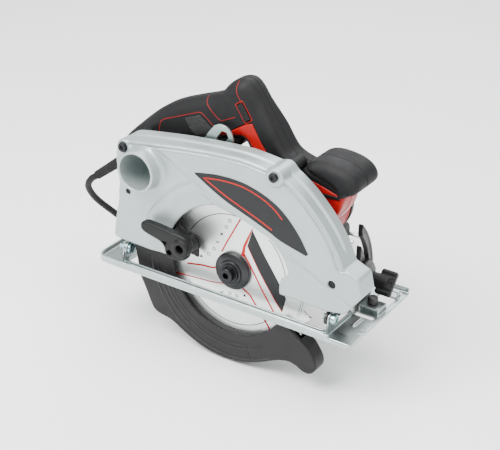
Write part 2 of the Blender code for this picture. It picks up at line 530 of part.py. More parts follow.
# ---------------------------------------------------------------- motor housing
housing = turned("motor_housing", [(37.8, 150.0), (40.6, 150.0), (41.0, 149.0), (41.0, 41.4), (40.4, 40.6), (37.8, 40.6)],
                 "Y", MOTOR, RED, steps=32, ring=True)
web = rod("end_web_form", "Y", MOTOR, 143.0, 149.6, 39.0, cutter=True, steps=32)
cut(web, rod("web_seat", "Y", MOTOR, 145.3, 151, 9.8, cutter=True, steps=24),
    rod("web_hole", "Y", MOTOR, 141, 147, 6.2, cutter=True, steps=20))
for i in range(4):
    c = arc(MOTOR, 23.0, 45 + 90 * i, 45 + 90 * i, 1)[0]
    cut(web, rod("web_vent_%d" % i, "Y", c, 141, 151, 9.0, cutter=True, steps=8))
join(housing, web)
stator = pipe("field_stator", "Y", MOTOR, 62.0, 106.0, 21.4, 37.3, STEEL, steps=40)
for s, nm in ((1, "upper"), (-1, "lower")):
    z0, z1 = sorted((MOTOR[1] + s * 13.2, MOTOR[1] + s * 44.0))
    cut(housing, block("brush_port_" + nm, MOTOR[0] - 5.6, MOTOR[0] + 5.6, 121.4, 132.6, z0 if s > 0 else MOTOR[1] - 44,
                       z1 if s > 0 else MOTOR[1] - 30, cutter=True))
    a, b = sorted((MOTOR[1] + s * 13.4, MOTOR[1] + s * 37.0))
    holder = block("brush_holder_" + nm, MOTOR[0] - 5.2, MOTOR[0] + 5.2, 121.8, 132.2, a, b, STEEL)
    cut(holder, block("brush_way_" + nm, MOTOR[0] - 3.6, MOTOR[0] + 3.6, 123.4, 130.6, a - 2, b + 2, cutter=True))
    prof = [(0, MOTOR[1] + 41.6), (4.2, MOTOR[1] + 41.6), (5.0, MOTOR[1] + 41.0), (5.0, MOTOR[1] + 37.4), (0, MOTOR[1] + 37.4)]
    if s < 0:
        prof = [(r, 2 * MOTOR[1] - z) for r, z in prof][::-1]
    turned("brush_cap_" + nm, prof, "Z", (MOTOR[0], 127.0), DARK, steps=20)

cap = turned("motor_end_cap", [(0, 165.4), (34, 165.0), (39.6, 161.0), (41.2, 154.0), (41.2, 150.3),
                               (38.0, 150.3), (38.0, 154.0), (33.0, 162.0), (0, 162.4)], "Y", MOTOR, DARK, steps=28)
for i in range(6):
    z = MOTOR[1] - 22.5 + 9 * i
    half = math.sqrt(max(0.0, 31.0 ** 2 - (z - MOTOR[1]) ** 2))
    for s in (-1, 1):
        x0, x1 = sorted((MOTOR[0] + s * 3.0, MOTOR[0] + s * half))
        cut(cap, block("cap_vent_%d_%s" % (i, "ab"[s > 0]), x0, x1, 158, 168, z - 1.9, z + 1.9, cutter=True))
CAP_SCREWS = [arc(MOTOR, 35.2, a, a, 1)[0] for a in (45, 225)]
for i, c in enumerate(CAP_SCREWS):
    cut(cap, rod("cap_screw_way_%d" % i, "Y", c, 149, 168, 2.5, cutter=True, steps=12))
    head_screw("cap_screw_%d" % (i + 1), "Y", c, 167.6, 151.0, 3.6, 2.2, 2.2, STEEL, steps=10)

# ------------------------------------------------------------------ rear handle
body_out = [(-157.6, 126.7), (-152.4, 133), (-139.5, 146.5), (-120.5, 163.4), (-101.8, 175.6), (-77.4, 186.4),
            (-55.9, 194.6), (-46, 200.2), (-37.5, 210.2), (-30, 216.2), (-22, 219.6), (-14, 218.6), (-6, 211.6),
            (5.3, 196.4), (17.9, 179.4), (28, 164.8), (36.5, 155.4), (50, 150.0), (70, 146.5), (98, 141), (104, 134),
            (99, 112), (86, 92), (69, 79), (54.6, 70.6)] \
    + arc(MOTOR, 41.5, 12, 160, 16) + [(-40, 66), (-70, 66), (-110, 70), (-148, 76), (-162, 84), (-168.5, 97), (-166, 112)]
hand_hole = rounded([(-30, 153), (-15, 157.5), (-5, 141), (6, 118), (-4, 106.5), (-60, 101), (-100, 101), (-116, 108),
                     (-104, 124), (-80, 138), (-55, 147)], 5, 2)
HALF = 18.0


def shell(name, near):
    y0, y1 = (SEAM - HALF, SEAM - 0.15) if near else (SEAM + 0.15, SEAM + HALF)
    return prism(name, [body_out, hand_hole], y0, y1, "Y", SOFT)


room_out = [(-150, 127), (-136, 143), (-118, 157), (-99, 169), (-75, 179.5), (-52, 188), (-43, 194), (-34, 205), (-27, 211),
            (-20, 213), (-14, 210), (0, 193), (13, 175), (24, 158), (33, 148), (48, 143), (68, 140), (94, 136), (98, 130),
            (93, 113), (82, 93), (70, 84), (60, 86), (50, 95), (38, 103), (24, 109.5), (13, 118), (1.5, 142), (-11.5, 165),
            (-33, 159.5), (-57, 153.5), (-84, 143.5), (-112, 127.5), (-122, 103), (-112, 94), (-106, 80), (-146, 83), (-157, 90),
            (-161, 99), (-159, 112)]
room = prism("handle_room", [room_out], SEAM - HALF + 3, SEAM + HALF - 3, "Y", cutter=True)
left = shell("handle_shell_left", True)
right = shell("handle_shell_right", False)
# bosses that meet the upper guard, and the guard screws' holes
boss_r = rod("boss_rear_form", "Y", SCREW_R, 15.3, 36.0, 6.5, cutter=True, steps=16)
boss_f = rod("boss_front_form", "Y", (49.4, 151.4), 15.3, 36.0, 7.6, cutter=True, steps=16)
bridge = prism("boss_bridge_form", [[(36, 140), (60, 140), (57.5, 153), (49.4, 158.8), (41, 157)]], 27.2, 62.8, "Y", cutter=True)
for half in (left, right):
    keep_side = half is left
    cut(half, room)
    if keep_side:
        join(half, boss_r, boss_f)
        cut(half, rod("screw_way_rear", "Y", SCREW_R, 14, 40, 2.6, cutter=True, steps=12),
            rod("screw_way_front", "Y", SCREW_F, 14, 40, 2.6, cutter=True, steps=12))

# trigger slot, button slot, and the cord's way out, cut through both halves as needed
T0, T1 = 37.0, 53.0
slot_trigger = block("trigger_slot", -60.5, -15.5, T0 - 0.5, T1 + 0.5, 132, 172, cutter=True)
cut(left, slot_trigger)
cut(right, slot_trigger)
POST_ANG = math.radians(-54)
BUTTON = (-13.5, 189.0)


def slanted(name, c, length, width, y0, y1, mat=None, cutter=False, grow=0.0, edge=0.0):
    """Slot-shaped bar lying along the post, between two Y planes."""
    h, w = length / 2 + grow, width / 2 + grow
    loop = rounded([(-h, -w), (h, -w), (h, w), (-h, w)], 2.0, 2)
    ob = prism(name, [loop], y0, y1, "Y", mat, cutter, edge=edge)
    ob.matrix_world = Matrix.Translation(P(c[0], (y0 + y1) / 2, c[1])) @ Matrix.Rotation(-POST_ANG, 4, "Y") @ FRAMES["Y"].to_4x4()
    return ob


cut(left, slanted("button_slot", BUTTON, 19, 7.5, 22, 34, cutter=True, grow=0.4))
button = slanted("lock_off_button", BUTTON, 19, 7.5, 25.4, 37.0, SOFT, edge=0.8)

trigger = prism("trigger", [[(-58, 161), (-57, 148), (-47, 142), (-33, 142.6), (-21, 148.4), (-18.4, 157.5), (-19, 164.5),
                             (-25, 167.0), (-40, 165)]], T0, T1, "Y", DARK, edge=1.2)
TRIG = (-24.0, 161.0)
switch = block("switch_body", -66, -36, 37.5, 52.5, 168.8, 179.0, DARK, edge=0.8)

# sleeve and cord
S0, S1 = Vector((-154.8, 45.0, 104.1)), Vector((-209.0, 44.0, 59.9))
u_s = (S1 - S0).normalized()


def along(name, p, q, profile, mat=None, cutter=False, steps=16):
    """Turned piece about the line p to q; profile is (radius, distance from p), far end first."""
    pts = [(r, t) for r, t in profile]
    me = bpy.data.meshes.new(name)
    bm = bmesh.new()
    vs = [bm.verts.new((r * MM, 0, t * MM)) for r, t in pts]
    for i in range(len(vs) - 1):
        bm.edges.new((vs[i], vs[i + 1]))
    bm.to_mesh(me)
    bm.free()
    ob = bpy.data.objects.new("tmp", me)
    d = (Vector(q) - Vector(p)).normalized()
    ob.matrix_world = Matrix.Translation(P(*p)) @ d.to_track_quat("Z", "Y").to_matrix().to_4x4() @ (phase() if cutter else Matrix())
    register(ob, name, cutter, mat)
    s = ob.modifiers.new("turn", "SCREW")
    s.axis = "Z"
    s.angle = math.tau
    s.steps = s.render_steps = steps
    s.use_merge_vertices = True
    s.merge_threshold = 2e-6
    return ob


L_S = (S1 - S0).length
sleeve = along("strain_relief", S0, S1, [(0, L_S), (4.9, L_S), (6.3, 6.0), (8.6, 5.4), (8.6, 0), (0, 0)], RUBBER, steps=16)
way = along("sleeve_way", S0 - u_s * 0.6, S1, [(0, 30), (6.9, 30), (6.9, 6.8), (9.2, 6.6), (9.2, 0), (0, 0)], cutter=True, steps=16)
cut(left, way)
cut(right, way)

COIL = (-118.0, 226.0)
COIL_IN, COIL_OUT = 33.2, 56.3
COIL_ROWS, PITCH = 3, 7.75
COIL_TOP = FLOOR + COIL_ROWS * PITCH
zf = FLOOR + CORD_R + 0.3
t_out = COIL_OUT + GAP + CORD_R
route = [tuple(S1 + u_s * GAP), tuple(S1 + u_s * 12), (-225.5, 50, 38), (-227, 66, 17), (-221, 91, -9), (-211, 118, -37), (-202, 143, -60),
         (-193.5, 165, zf + 2.0), (-186.0, 186, zf), (COIL[0] - t_out - 1.2, 207, zf), (COIL[0] - t_out, COIL[1] - 4, zf)]
cord = tube("power_cord", smooth_path(route, 8.5), CORD_R, RUBBER, res=2)
coil = turned("cord_coil", [(COIL_IN, COIL_TOP), (COIL_OUT, COIL_TOP), (COIL_OUT, FLOOR), (COIL_IN, FLOOR)], "Z", COIL,
              RUBBER, steps=40, ring=True)
# the tail leaves the top turn along +X, level with the plug's middle
PLUG_R = 17.5
PLUG_Z = FLOOR + PLUG_R
TAIL_Y = COIL[1] + 52.0
tail_pts = [(COIL[0] + 16, TAIL_Y + 8.6, COIL_TOP - CORD_R), (COIL[0] + 30, TAIL_Y + 8.9, COIL_TOP - 4.1),
            (COIL[0] + 40, TAIL_Y + 9.0, PLUG_Z + 0.4), (COIL[0] + 48, TAIL_Y + 9.0, PLUG_Z)]
PLUG_X = COIL[0] + 48.6 + GAP
plug = turned("plug", [(0, PLUG_X + 66), (2.4, PLUG_X + 66), (2.4, PLUG_X + 46), (PLUG_R, PLUG_X + 46), (PLUG_R, PLUG_X + 30),
                       (14, PLUG_X + 25), (8, PLUG_X + 20), (5.0, PLUG_X), (0, PLUG_X)], "X", (TAIL_Y + 9.0, PLUG_Z), RUBBER, steps=24)
tail = tube("cord_tail", smooth_path(tail_pts, 8.0), CORD_R, RUBBER, res=2)

# --------------------------------------------------------------- front handle
grip_out = [(60, 151.5), (64, 158.5), (72, 161.3), (82, 162), (94, 161), (104, 158.6), (112.6, 154.0), (117.5, 148),
            (118.6, 141), (114, 135.5), (107, 132), (105, 128), (96, 128), (90, 140), (66, 145)]
grip = prism("front_grip", [grip_out], 20.0, 75.0, "Y", SOFT, edge=5.0, res=0)
cut(grip, prism("front_grip_seat", [body_out], 26.7, 63.3, "Y", cutter=True, grow=0.3))

# handle screws on the motor side
for i, c in enumerate([(-140, 125), (8, 176), (76, 128)]):
    cut(right, rod("handle_screw_way_%d" % (i + 1), "Y", c, 50, 70, 2.5, cutter=True, steps=12))
    head_screw("handle_screw_%d" % (i + 1), "Y", c, 65.2, 50.0, 3.8, 2.2, 1.9, BLACKSTEEL, steps=10)

# ------------------------------------------------------------------ depth lever
DB = (-64.0, 57.8)
depth_bolt = turned("depth_clamp_bolt", [(0, 33.2), (3.0, 33.2), (3.0, 12.0), (6.3, 12.0), (6.3, 10.7), (0, 10.7)], "Y", DB,
                    ZINC, steps=20)
lever_loop = arc(DB, 7.4, 100, -80, 8) + [(-90, 45), (-118, 41.5), (-123, 45), (-122, 50.5), (-90, 57)]
depth_lever = prism("depth_lever", [lever_loop, circle(DB, 3.35, 20)], 22.0, 31.5, "Y", DARK, edge=1.2)

# ---------------------------------------------------------------- spindle lock
la = math.radians(LINE + 9 * 12)       # opposite a tooth gap
mid_lock = (ARBOR[0], 25.0, ARBOR[1])
ul = Vector((math.cos(la), 0, math.sin(la)))
c0 = Vector(mid_lock)
lock = along("spindle_lock_button", c0 + ul * 26.3, c0 + ul * 60, [(0, 17.0), (5.0, 17.0), (5.6, 16.2), (5.6, 9.0), (2.2, 8.4), (2.2, 2.2),
                                                                  (0.9, 2.0), (0.9, 0), (0, 0)], RED, steps=16)
cut(gear_case, along("lock_bore", c0 + ul * 20, c0 + ul * 60, [(0, 20), (2.6, 20), (2.6, 0), (0, 0)], cutter=True, steps=12))

# ----------------------------------------------------------------- lower guard
lg_out = [(-112.8, -10.6), (-104.5, -26), (-98.0, -39.5), (-90.6, -48), (-72, -52), (-58, -59), (-46, -65),
          (-33, -70), (-18, -73), (-1.5, -73.7), (17, -71.7), (29, -68), (43.6, -62), (55, -55.6), (64.5, -51.5), (73.8, -49.5),
          (82, -51), (90.7, -55), (98.9, -55), (105, -48), (104, -38), (95, -25)]
rear_edge = arc(ARBOR, 119.5, 152, 183, 8)
lg_loop = [(ARBOR[0] - 10, ARBOR[1] + 21.5), (-44, 62), (-66, 66)] + rear_edge + lg_out + [(22.5, 24)] \
    + arc(ARBOR, 23.0, 0, 112, 8)
lower = prism("lower_guard", [lg_loop], -9.0, 10.0, "Y", GREYPL)
cut(lower, rod("blade_room", "Y", ARBOR, -6.8, 7.6, 98.4, cutter=True, steps=44))
rear_room = arc(ARBOR, 117.2, 154, 214, 14) + arc(ARBOR, 96.5, 214, 154, 12)
cut(lower, prism("rear_room", [rear_room], -6.3, 7.1, "Y", cutter=True))
keep_lug = prism("lug_window", [arc(ARBOR, 70.0, 172, 395, 36) + arc(ARBOR, 125, 35, 150, 10) + [(-56.0, 61.2)] + arc((-46.8, 50.7), 10.5, 130, -40, 8)
                                + [(-38, 34), (-60, 30)]], -12.0, -5.8, "Y", cutter=True)
cut(lower, keep_lug)
cut(lower, rod("hub_hole", "Y", ARBOR, 5, 12, 19.5, cutter=True, steps=24))
LEVER = (-46.8, 50.7)
cut(lower, rod("lever_screw_way", "Y", LEVER, -10, -6, 2.6, cutter=True, steps=12))
lever_out = [(-38, 50), (-37.5, 58), (-41, 63.5), (-48, 64.5), (-70, 66.5), (-90, 68.5), (-96, 66), (-97, 61), (-93, 55.5), (-72, 51),
             (-67, 47.5), (-65, 40), (-62, 36), (-50, 36), (-40, 40)]
lever = prism("guard_lever", [rounded(lever_out, 3, 1)], -30.0, -20.0, "Y", DARK, edge=1.2)
join(lever, rod("lever_hub_form", "Y", LEVER, -24.0, -9.3, 9.0, cutter=True, steps=20))
cut(lever, rod("lever_bore", "Y", LEVER, -34, 0, 2.6, cutter=True, steps=12),
    rod("lever_counterbore", "Y", LEVER, -34, -23.0, 4.6, cutter=True, steps=16))
lever_screw = head_screw("lever_screw", "Y", LEVER, -26.0, -7.2, 4.1, 2.2, 2.4, BLACKSTEEL, steps=10)
spring = turned("guard_spring", [(20.2, 12.0), (22.6, 12.0), (22.6, 10.4), (20.2, 10.4)], "Y", ARBOR, STEEL, ring=True)

# ------------------------------------------------------------ joints and bodies


def pivot(name, x, y, z, parent=None):
    e = bpy.data.objects.new(name, None)
    e.location = P(x, y, z)
    e.empty_display_size = 0.02
    PARTS.objects.link(e)
    bpy.context.view_layer.update()
    if parent:
        e.parent = parent
        e.matrix_parent_inverse = parent.matrix_world.inverted()
    return e


tilt = pivot("bevel_axis", 0, *BEVEL)
depth = pivot("depth_axis", PIN[0], 17, PIN[1], tilt)
arbor = pivot("arbor_axis", ARBOR[0], 0, ARBOR[1], depth)
guard_axis = pivot("guard_axis", ARBOR[0], 0, ARBOR[1], depth)
motor_axis = pivot("motor_axis", MOTOR[0], 60, MOTOR[1], depth)
trigger_axis = pivot("trigger_axis", TRIG[0], SEAM, TRIG[1], depth)
button_axis = pivot("button_axis", BUTTON[0], 30, BUTTON[1], depth)
lock_axis = pivot("lock_axis", -35, 25, 31, depth)
lever_axis = pivot("lever_axis", DB[0], 26, DB[1], depth)
knob_axis = pivot("knob_axis", 130, *CLAMP, tilt)
GROUPS = {
    tilt: ["front_bracket", "depth_arc_bracket", "front_pivot_bolt", "rear_pivot_bolt", "depth_pivot_pin",
           "bevel_clamp_bolt"],
    knob_axis: ["bevel_knob"],
    arbor: ["spindle", "drive_gear", "inner_flange", "saw_blade", "outer_flange", "spindle_bolt"],
    motor_axis: ["armature_shaft", "armature_core", "commutator", "cooling_fan"],
    guard_axis: ["lower_guard", "guard_lever", "lever_screw"],
    trigger_axis: ["trigger"],
    button_axis: ["lock_off_button"],
    lock_axis: ["spindle_lock_button"],
    lever_axis: ["depth_lever"],
}
ROOT = ["sole_plate", "bevel_quadrant", "guide_clamp_screw"]
claimed = {n for g in GROUPS.values() for n in g} | set(ROOT)
GROUPS[depth] = [o.name for o in PARTS.objects if o.type == "MESH" and o.name not in claimed]
bpy.context.view_layer.update()
for axis_empty, names in GROUPS.items():
    for n in names:
        ob = bpy.data.objects[n]
        mw = ob.matrix_world.copy()
        ob.parent = axis_empty
        ob.matrix_parent_inverse = axis_empty.matrix_world.inverted()
        ob.matrix_world = mw

for ob in PARTS.objects:
    if ob.type == "MESH":
        ob.data.shade_smooth()
        ob.data.set_sharp_from_angle(angle=math.radians(35))
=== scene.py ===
"""Looks of the hand-held circular saw: fine surfaces, materials, cord, floor, light and camera.

Lengths in this file are millimetres in the blade frame (X 0 and Z 29.2 at the arbor, Y 0 in
the blade's plane, Z 0 on the sole); B() turns them into the part's frame in metres.
"""
import json
import math
import bpy
import bmesh
import numpy as np
from mathutils import Matrix, Vector


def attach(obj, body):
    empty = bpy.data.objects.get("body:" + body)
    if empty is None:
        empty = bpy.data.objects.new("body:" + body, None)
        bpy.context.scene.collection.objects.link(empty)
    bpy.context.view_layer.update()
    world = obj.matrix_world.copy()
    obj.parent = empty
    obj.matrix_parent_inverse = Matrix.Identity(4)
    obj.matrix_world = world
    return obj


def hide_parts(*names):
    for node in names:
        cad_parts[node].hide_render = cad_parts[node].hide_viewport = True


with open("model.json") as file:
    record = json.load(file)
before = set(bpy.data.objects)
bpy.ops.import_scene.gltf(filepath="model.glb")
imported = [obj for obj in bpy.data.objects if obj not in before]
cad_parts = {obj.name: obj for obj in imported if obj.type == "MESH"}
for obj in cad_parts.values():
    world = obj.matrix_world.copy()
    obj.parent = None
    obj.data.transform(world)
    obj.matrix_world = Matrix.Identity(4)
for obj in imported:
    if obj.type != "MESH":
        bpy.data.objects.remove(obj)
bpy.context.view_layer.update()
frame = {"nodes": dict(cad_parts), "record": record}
NODES = frame["nodes"]
REC = frame["record"]
BODY = {n: b for b, ns in REC["behaviour"]["bodies"].items() for n in ns}
DY = -72.0
ARBOR, MOTOR, PIN, BEVEL = (0.0, 29.2), (11.0, 57.1), (118.6, 57.8), (-9.0, 18.0)
SEAM, FLOOR = 45.0, -76.0
tau = math.tau


def B(x, y, z):
    return Vector((x * 0.001, (y + DY) * 0.001, z * 0.001))


# ------------------------------------------------------------------------ camera
def make_camera():
    a, e, roll = math.radians(31.08), math.radians(27.8), math.radians(-2.65)
    back = Vector((math.sin(a) * math.cos(e), -math.cos(a) * math.cos(e), math.sin(e)))
    right = Vector((math.cos(a), math.sin(a), 0))
    up = back.cross(right)
    c, s = math.cos(roll), math.sin(roll)
    rx, ry = right * c - up * s, right * s + up * c
    cam = bpy.data.cameras.new("camera")
    ob = bpy.data.objects.new("camera", cam)
    loc = B(0, 20, 50) + back * 1.37011
    ob.matrix_world = Matrix(((rx.x, ry.x, back.x, loc.x), (rx.y, ry.y, back.y, loc.y),
                              (rx.z, ry.z, back.z, loc.z), (0, 0, 0, 1)))
    cam.sensor_width = 36.0
    cam.lens = 96.67
    cam.shift_x = 0.0085
    cam.shift_y = 0.0384
    cam.clip_end = 50
    bpy.context.scene.collection.objects.link(ob)
    bpy.context.scene.camera = ob


make_camera()


# --------------------------------------------------------------------- materials
class Nodes:
    """Small helper round a node tree."""

    def __init__(self, name):
        self.m = bpy.data.materials.new(name)
        self.m.use_nodes = True
        self.t = self.m.node_tree
        self.b = self.t.nodes["Principled BSDF"]
        self.co = self.add("ShaderNodeTexCoord").outputs["Object"]

    def add(self, kind, **kw):
        n = self.t.nodes.new(kind)
        for k, v in kw.items():
            setattr(n, k, v)
        return n

    def link(self, a, b):
        self.t.links.new(a, b)

    def noise(self, scale, detail=3.0, rough=0.55, vec=None, distort=0.0):
        n = self.add("ShaderNodeTexNoise")
        n.inputs["Scale"].default_value = scale
        n.inputs["Detail"].default_value = detail
        n.inputs["Roughness"].default_value = rough
        n.inputs["Distortion"].default_value = distort
        self.link(vec or self.co, n.inputs["Vector"])
        return n.outputs["Fac"]

    def stretch(self, s):
        n = self.add("ShaderNodeMapping")
        n.inputs["Scale"].default_value = s
        self.link(self.co, n.inputs["Vector"])
        return n.outputs["Vector"]

    def ramp(self, fac, lo, hi, a, b):
        """fac from lo..hi to a..b"""
        n = self.add("ShaderNodeMapRange")
        n.inputs["From Min"].default_value = lo
        n.inputs["From Max"].default_value = hi
        n.inputs["To Min"].default_value = a
        n.inputs["To Max"].default_value = b
        self.link(fac, n.inputs["Value"])
        return n.outputs["Result"]

    def math(self, op, a, b):
        n = self.add("ShaderNodeMath", operation=op)
        for i, v in enumerate((a, b)):
            if isinstance(v, (int, float)):
                n.inputs[i].default_value = v
            else:
                self.link(v, n.inputs[i])
        return n.outputs[0]

    def mix(self, fac, a, b):
        n = self.add("ShaderNodeMix", data_type="RGBA")
        self.link(fac, n.inputs[0])
        for i, v in ((6, a), (7, b)):
            if isinstance(v, tuple):
                n.inputs[i].default_value = (*v, 1)
            else:
                self.link(v, n.inputs[i])
        return n.outputs[2]

    def bump(self, height, strength, distance, normal=None):
        n = self.add("ShaderNodeBump")
        n.inputs["Strength"].default_value = strength
        n.inputs["Distance"].default_value = distance
        self.link(height, n.inputs["Height"])
        if normal is not None:
            self.link(normal, n.inputs["Normal"])
        return n.outputs["Normal"]

    def edges(self, lo=0.51, hi=0.56):
        g = self.add("ShaderNodeNewGeometry")
        return self.ramp(g.outputs["Pointiness"], lo, hi, 0.0, 1.0)

    def set(self, **kw):
        for k, v in kw.items():
            self.b.inputs[k].default_value = v


def finish_mat(n, colour, rough, normal):
    n.link(colour, n.b.inputs["Base Color"])
    n.link(rough, n.b.inputs["Roughness"])
    n.link(normal, n.b.inputs["Normal"])
    return n.m


def shade(c, k):
    return tuple(min(1.0, v * k) for v in c)


def paint(name, c, rough=0.42, metal=0.0, grain=900, bump=0.12, flake=True, wear=(0.75, 0.76, 0.75), coat=0.0, var=0.05):
    """Satin paint on a casting: fine orange peel, faint soiling in broad patches, worn bright edges."""
    n = Nodes(name)
    n.set(Metallic=metal)
    if coat:
        n.set(**{"Coat Weight": coat, "Coat Roughness": 0.25})
    broad = n.noise(18, 4)
    fine = n.noise(grain, 2)
    col = n.mix(n.ramp(broad, 0.3, 0.7, 0, 1), shade(c, 1 - var), shade(c, 1 + var))
    if flake:
        sparkle = n.add("ShaderNodeTexVoronoi")
        sparkle.inputs["Scale"].default_value = 2600
        n.link(n.co, sparkle.inputs["Vector"])
        col = n.mix(n.ramp(sparkle.outputs["Distance"], 0.0, 0.5, 0.22, 0.0), col, shade(c, 1.25))
    col = n.mix(n.math("MULTIPLY", n.edges(0.53, 0.6), n.ramp(n.noise(240, 3), 0.45, 0.7, 0.0, 0.5)), col, wear)
    r = n.ramp(n.noise(60, 5), 0.3, 0.7, rough - 0.06, rough + 0.08)
    nb = n.bump(fine, bump, 0.0004)
    nb = n.bump(n.noise(120, 2), 0.05, 0.002, nb)
    return finish_mat(n, col, r, nb)


def plastic(name, c, rough=0.45, grain=2200, bump=0.3, var=0.08, edge=None, scale2=None, spec=0.5, sheen=0.0):
    """Moulded plastic or overmould: spark-eroded grain, slight colour drift, and a lighter edge colour on convex edges
    as a painted edge highlight.
    """
    n = Nodes(name)
    n.set(**{"Specular IOR Level": spec})
    if sheen:
        n.set(**{"Sheen Weight": sheen, "Sheen Roughness": 0.5})
    broad = n.noise(25, 4)
    col = n.mix(n.ramp(broad, 0.3, 0.7, 0, 1), shade(c, 1 - var), shade(c, 1 + var))
    # painted highlight: convex edges take the lighter edge colour, standing in for light caught on the edges
    if edge:
        col = n.mix(n.ramp(n.edges(0.52, 0.6), 0, 1, 0, 0.5), col, edge)
    v = n.add("ShaderNodeTexVoronoi")
    v.inputs["Scale"].default_value = grain
    n.link(n.co, v.inputs["Vector"])
    r = n.ramp(n.noise(70, 5), 0.3, 0.7, rough - 0.07, rough + 0.09)
    nb = n.bump(v.outputs["Distance"], bump, 0.0003)
    nb = n.bump(n.noise(scale2 or 160, 2), 0.06, 0.0015, nb)
    return finish_mat(n, col, r, nb)


def metal(name, c, rough=0.3, stretch=(30, 900, 900), aniso=0.3, spangle=0.0, tint=None, bump=0.08):
    """Machined, plated or brushed metal with directional micro scratches."""
    n = Nodes(name)
    n.set(Metallic=1.0, Anisotropic=aniso)
    lines = n.noise(1.0, 4, vec=n.stretch(stretch))
    broad = n.noise(35, 5)
    col = n.mix(n.ramp(broad, 0.3, 0.7, 0, 1), shade(c, 0.9), shade(c, 1.06))
    if spangle:
        v = n.add("ShaderNodeTexVoronoi")
        v.inputs["Scale"].default_value = 190
        n.link(n.co, v.inputs["Vector"])
        col = n.mix(n.ramp(v.outputs["Color"], 0.2, 0.9, 0, spangle), col, shade(c, 1.25))
    if tint:
        col = n.mix(n.ramp(n.noise(22, 3), 0.4, 0.75, 0, 0.55), col, tint)
    r = n.math("ADD", n.ramp(lines, 0.3, 0.7, rough - 0.07, rough + 0.07), n.ramp(broad, 0.3, 0.7, -0.04, 0.05))
    nb = n.bump(lines, bump, 0.0002)
    nb = n.bump(n.noise(90, 3), 0.04, 0.001, nb)
    return finish_mat(n, col, r, nb)


M_SILVER = paint("silver_paint", (0.36, 0.41, 0.404), 0.40, 0.5, coat=0.12, wear=(0.5, 0.54, 0.53))
M_ZINC = metal("zinc_plate", (0.40, 0.46, 0.45), 0.34, (60, 700, 700), 0.25, spangle=0.3)
M_ARC = metal("zinc_strip", (0.38, 0.46, 0.445), 0.34, (300, 300, 300), 0.1, spangle=0.25)
M_BLUE = metal("blue_zinc", (0.38, 0.56, 0.62), 0.28, (500, 500, 500), 0.1, tint=(0.5, 0.62, 0.42))
M_BLACK = paint("black_coat", (0.0075, 0.0068, 0.0062), 0.42, 0.0, grain=1500, bump=0.25, flake=False, wear=(0.06, 0.055, 0.05), coat=0.05, var=0.15)
M_SCREW = metal("black_oxide", (0.03, 0.03, 0.033), 0.38, (500, 500, 500), 0.1)
# the edge colours given to the plastics below are painted edge highlights
M_DARK = plastic("dark_plastic", (0.0062, 0.0062, 0.0065), 0.44, 1800, 0.3, edge=(0.018, 0.018, 0.018), spec=0.2)
M_SOFT = plastic("soft_touch", (0.0068, 0.0068, 0.0072), 0.54, 3000, 0.3, edge=(0.014, 0.014, 0.014), spec=0.2)
M_RED = plastic("red_plastic", (0.31, 0.0035, 0.0022), 0.36, 2400, 0.12, var=0.05, edge=(0.38, 0.008, 0.005), spec=0.22)
M_LINE = plastic("red_line", (0.38, 0.008, 0.005), 0.42, 2400, 0.1, var=0.05, spec=0.2)
M_PIN = plastic("pinstripe_red", (0.23, 0.006, 0.004), 0.45, 2400, 0.1, var=0.05, spec=0.2)
M_GUARD = plastic("guard_plastic", (0.0105, 0.0095, 0.0102), 0.42, 1500, 0.3, edge=(0.034, 0.032, 0.034), spec=0.24)
M_STEEL = metal("machined_steel", (0.62, 0.62, 0.61), 0.26, (40, 1200, 1200), 0.4)
M_FLANGE = paint("flange_black", (0.009, 0.0095, 0.0105), 0.36, 0.3, grain=1600, bump=0.2, flake=False, wear=(0.09, 0.09, 0.09), var=0.12)
M_CORE = metal("oiled_steel", (0.10, 0.10, 0.098), 0.42, (300, 300, 300), 0.1)
M_COPPER = metal("copper", (0.78, 0.38, 0.2), 0.3, (600, 600, 600), 0.1, tint=(0.5, 0.22, 0.12))
M_RUBBER = plastic("rubber", (0.006, 0.006, 0.006), 0.56, 2600, 0.3, spec=0.2)
M_LABEL = plastic("label_film", (0.0115, 0.0125, 0.013), 0.38, 3200, 0.12, var=0.06, spec=0.22)
M_INK = plastic("ink", (0.008, 0.008, 0.0085), 0.4, 3000, 0.05, spec=0.2)


def blade_mat():
    """Ground blade: fine circular grinding marks round the arbor, and two lighter lobes painted in as a painted
    reflection.
    """
    n = Nodes("blade_steel")
    n.set(Metallic=0.9, Anisotropic=0.0)
    sep = n.add("ShaderNodeSeparateXYZ")
    n.link(n.co, sep.inputs[0])
    x = sep.outputs["X"]
    z = n.math("SUBTRACT", sep.outputs["Z"], 0.0292)
    r2 = n.math("ADD", n.math("MULTIPLY", x, x), n.math("MULTIPLY", z, z))
    r = n.math("POWER", r2, 0.5)
    comb = n.add("ShaderNodeCombineXYZ")
    n.link(n.math("MULTIPLY", r, 2600.0), comb.inputs[0])
    ang = n.math("ARCTAN2", z, x)
    n.link(n.math("MULTIPLY", ang, 1.5), comb.inputs[1])
    rings = n.add("ShaderNodeTexNoise")
    rings.inputs["Scale"].default_value = 1.0
    rings.inputs["Detail"].default_value = 4
    n.link(comb.outputs[0], rings.inputs["Vector"])
    f = rings.outputs["Fac"]
    c = (0.66, 0.68, 0.67)
    col = n.mix(n.ramp(n.noise(14, 3), 0.3, 0.7, 0, 1), shade(c, 0.9), shade(c, 1.08))
    # painted reflection: two lighter lobes round the arbor, where the ground steel's highlight falls
    painted_sweep_highlight = n.math("SINE", n.math("MULTIPLY", ang, 2.0), 0.0)
    col = n.mix(n.ramp(painted_sweep_highlight, -1, 1, 0.0, 0.35), col, shade(c, 1.25))
    rough = n.ramp(f, 0.3, 0.7, 0.3, 0.42)
    return finish_mat(n, col, rough, n.bump(f, 0.1, 0.0002))


M_BLADE = blade_mat()


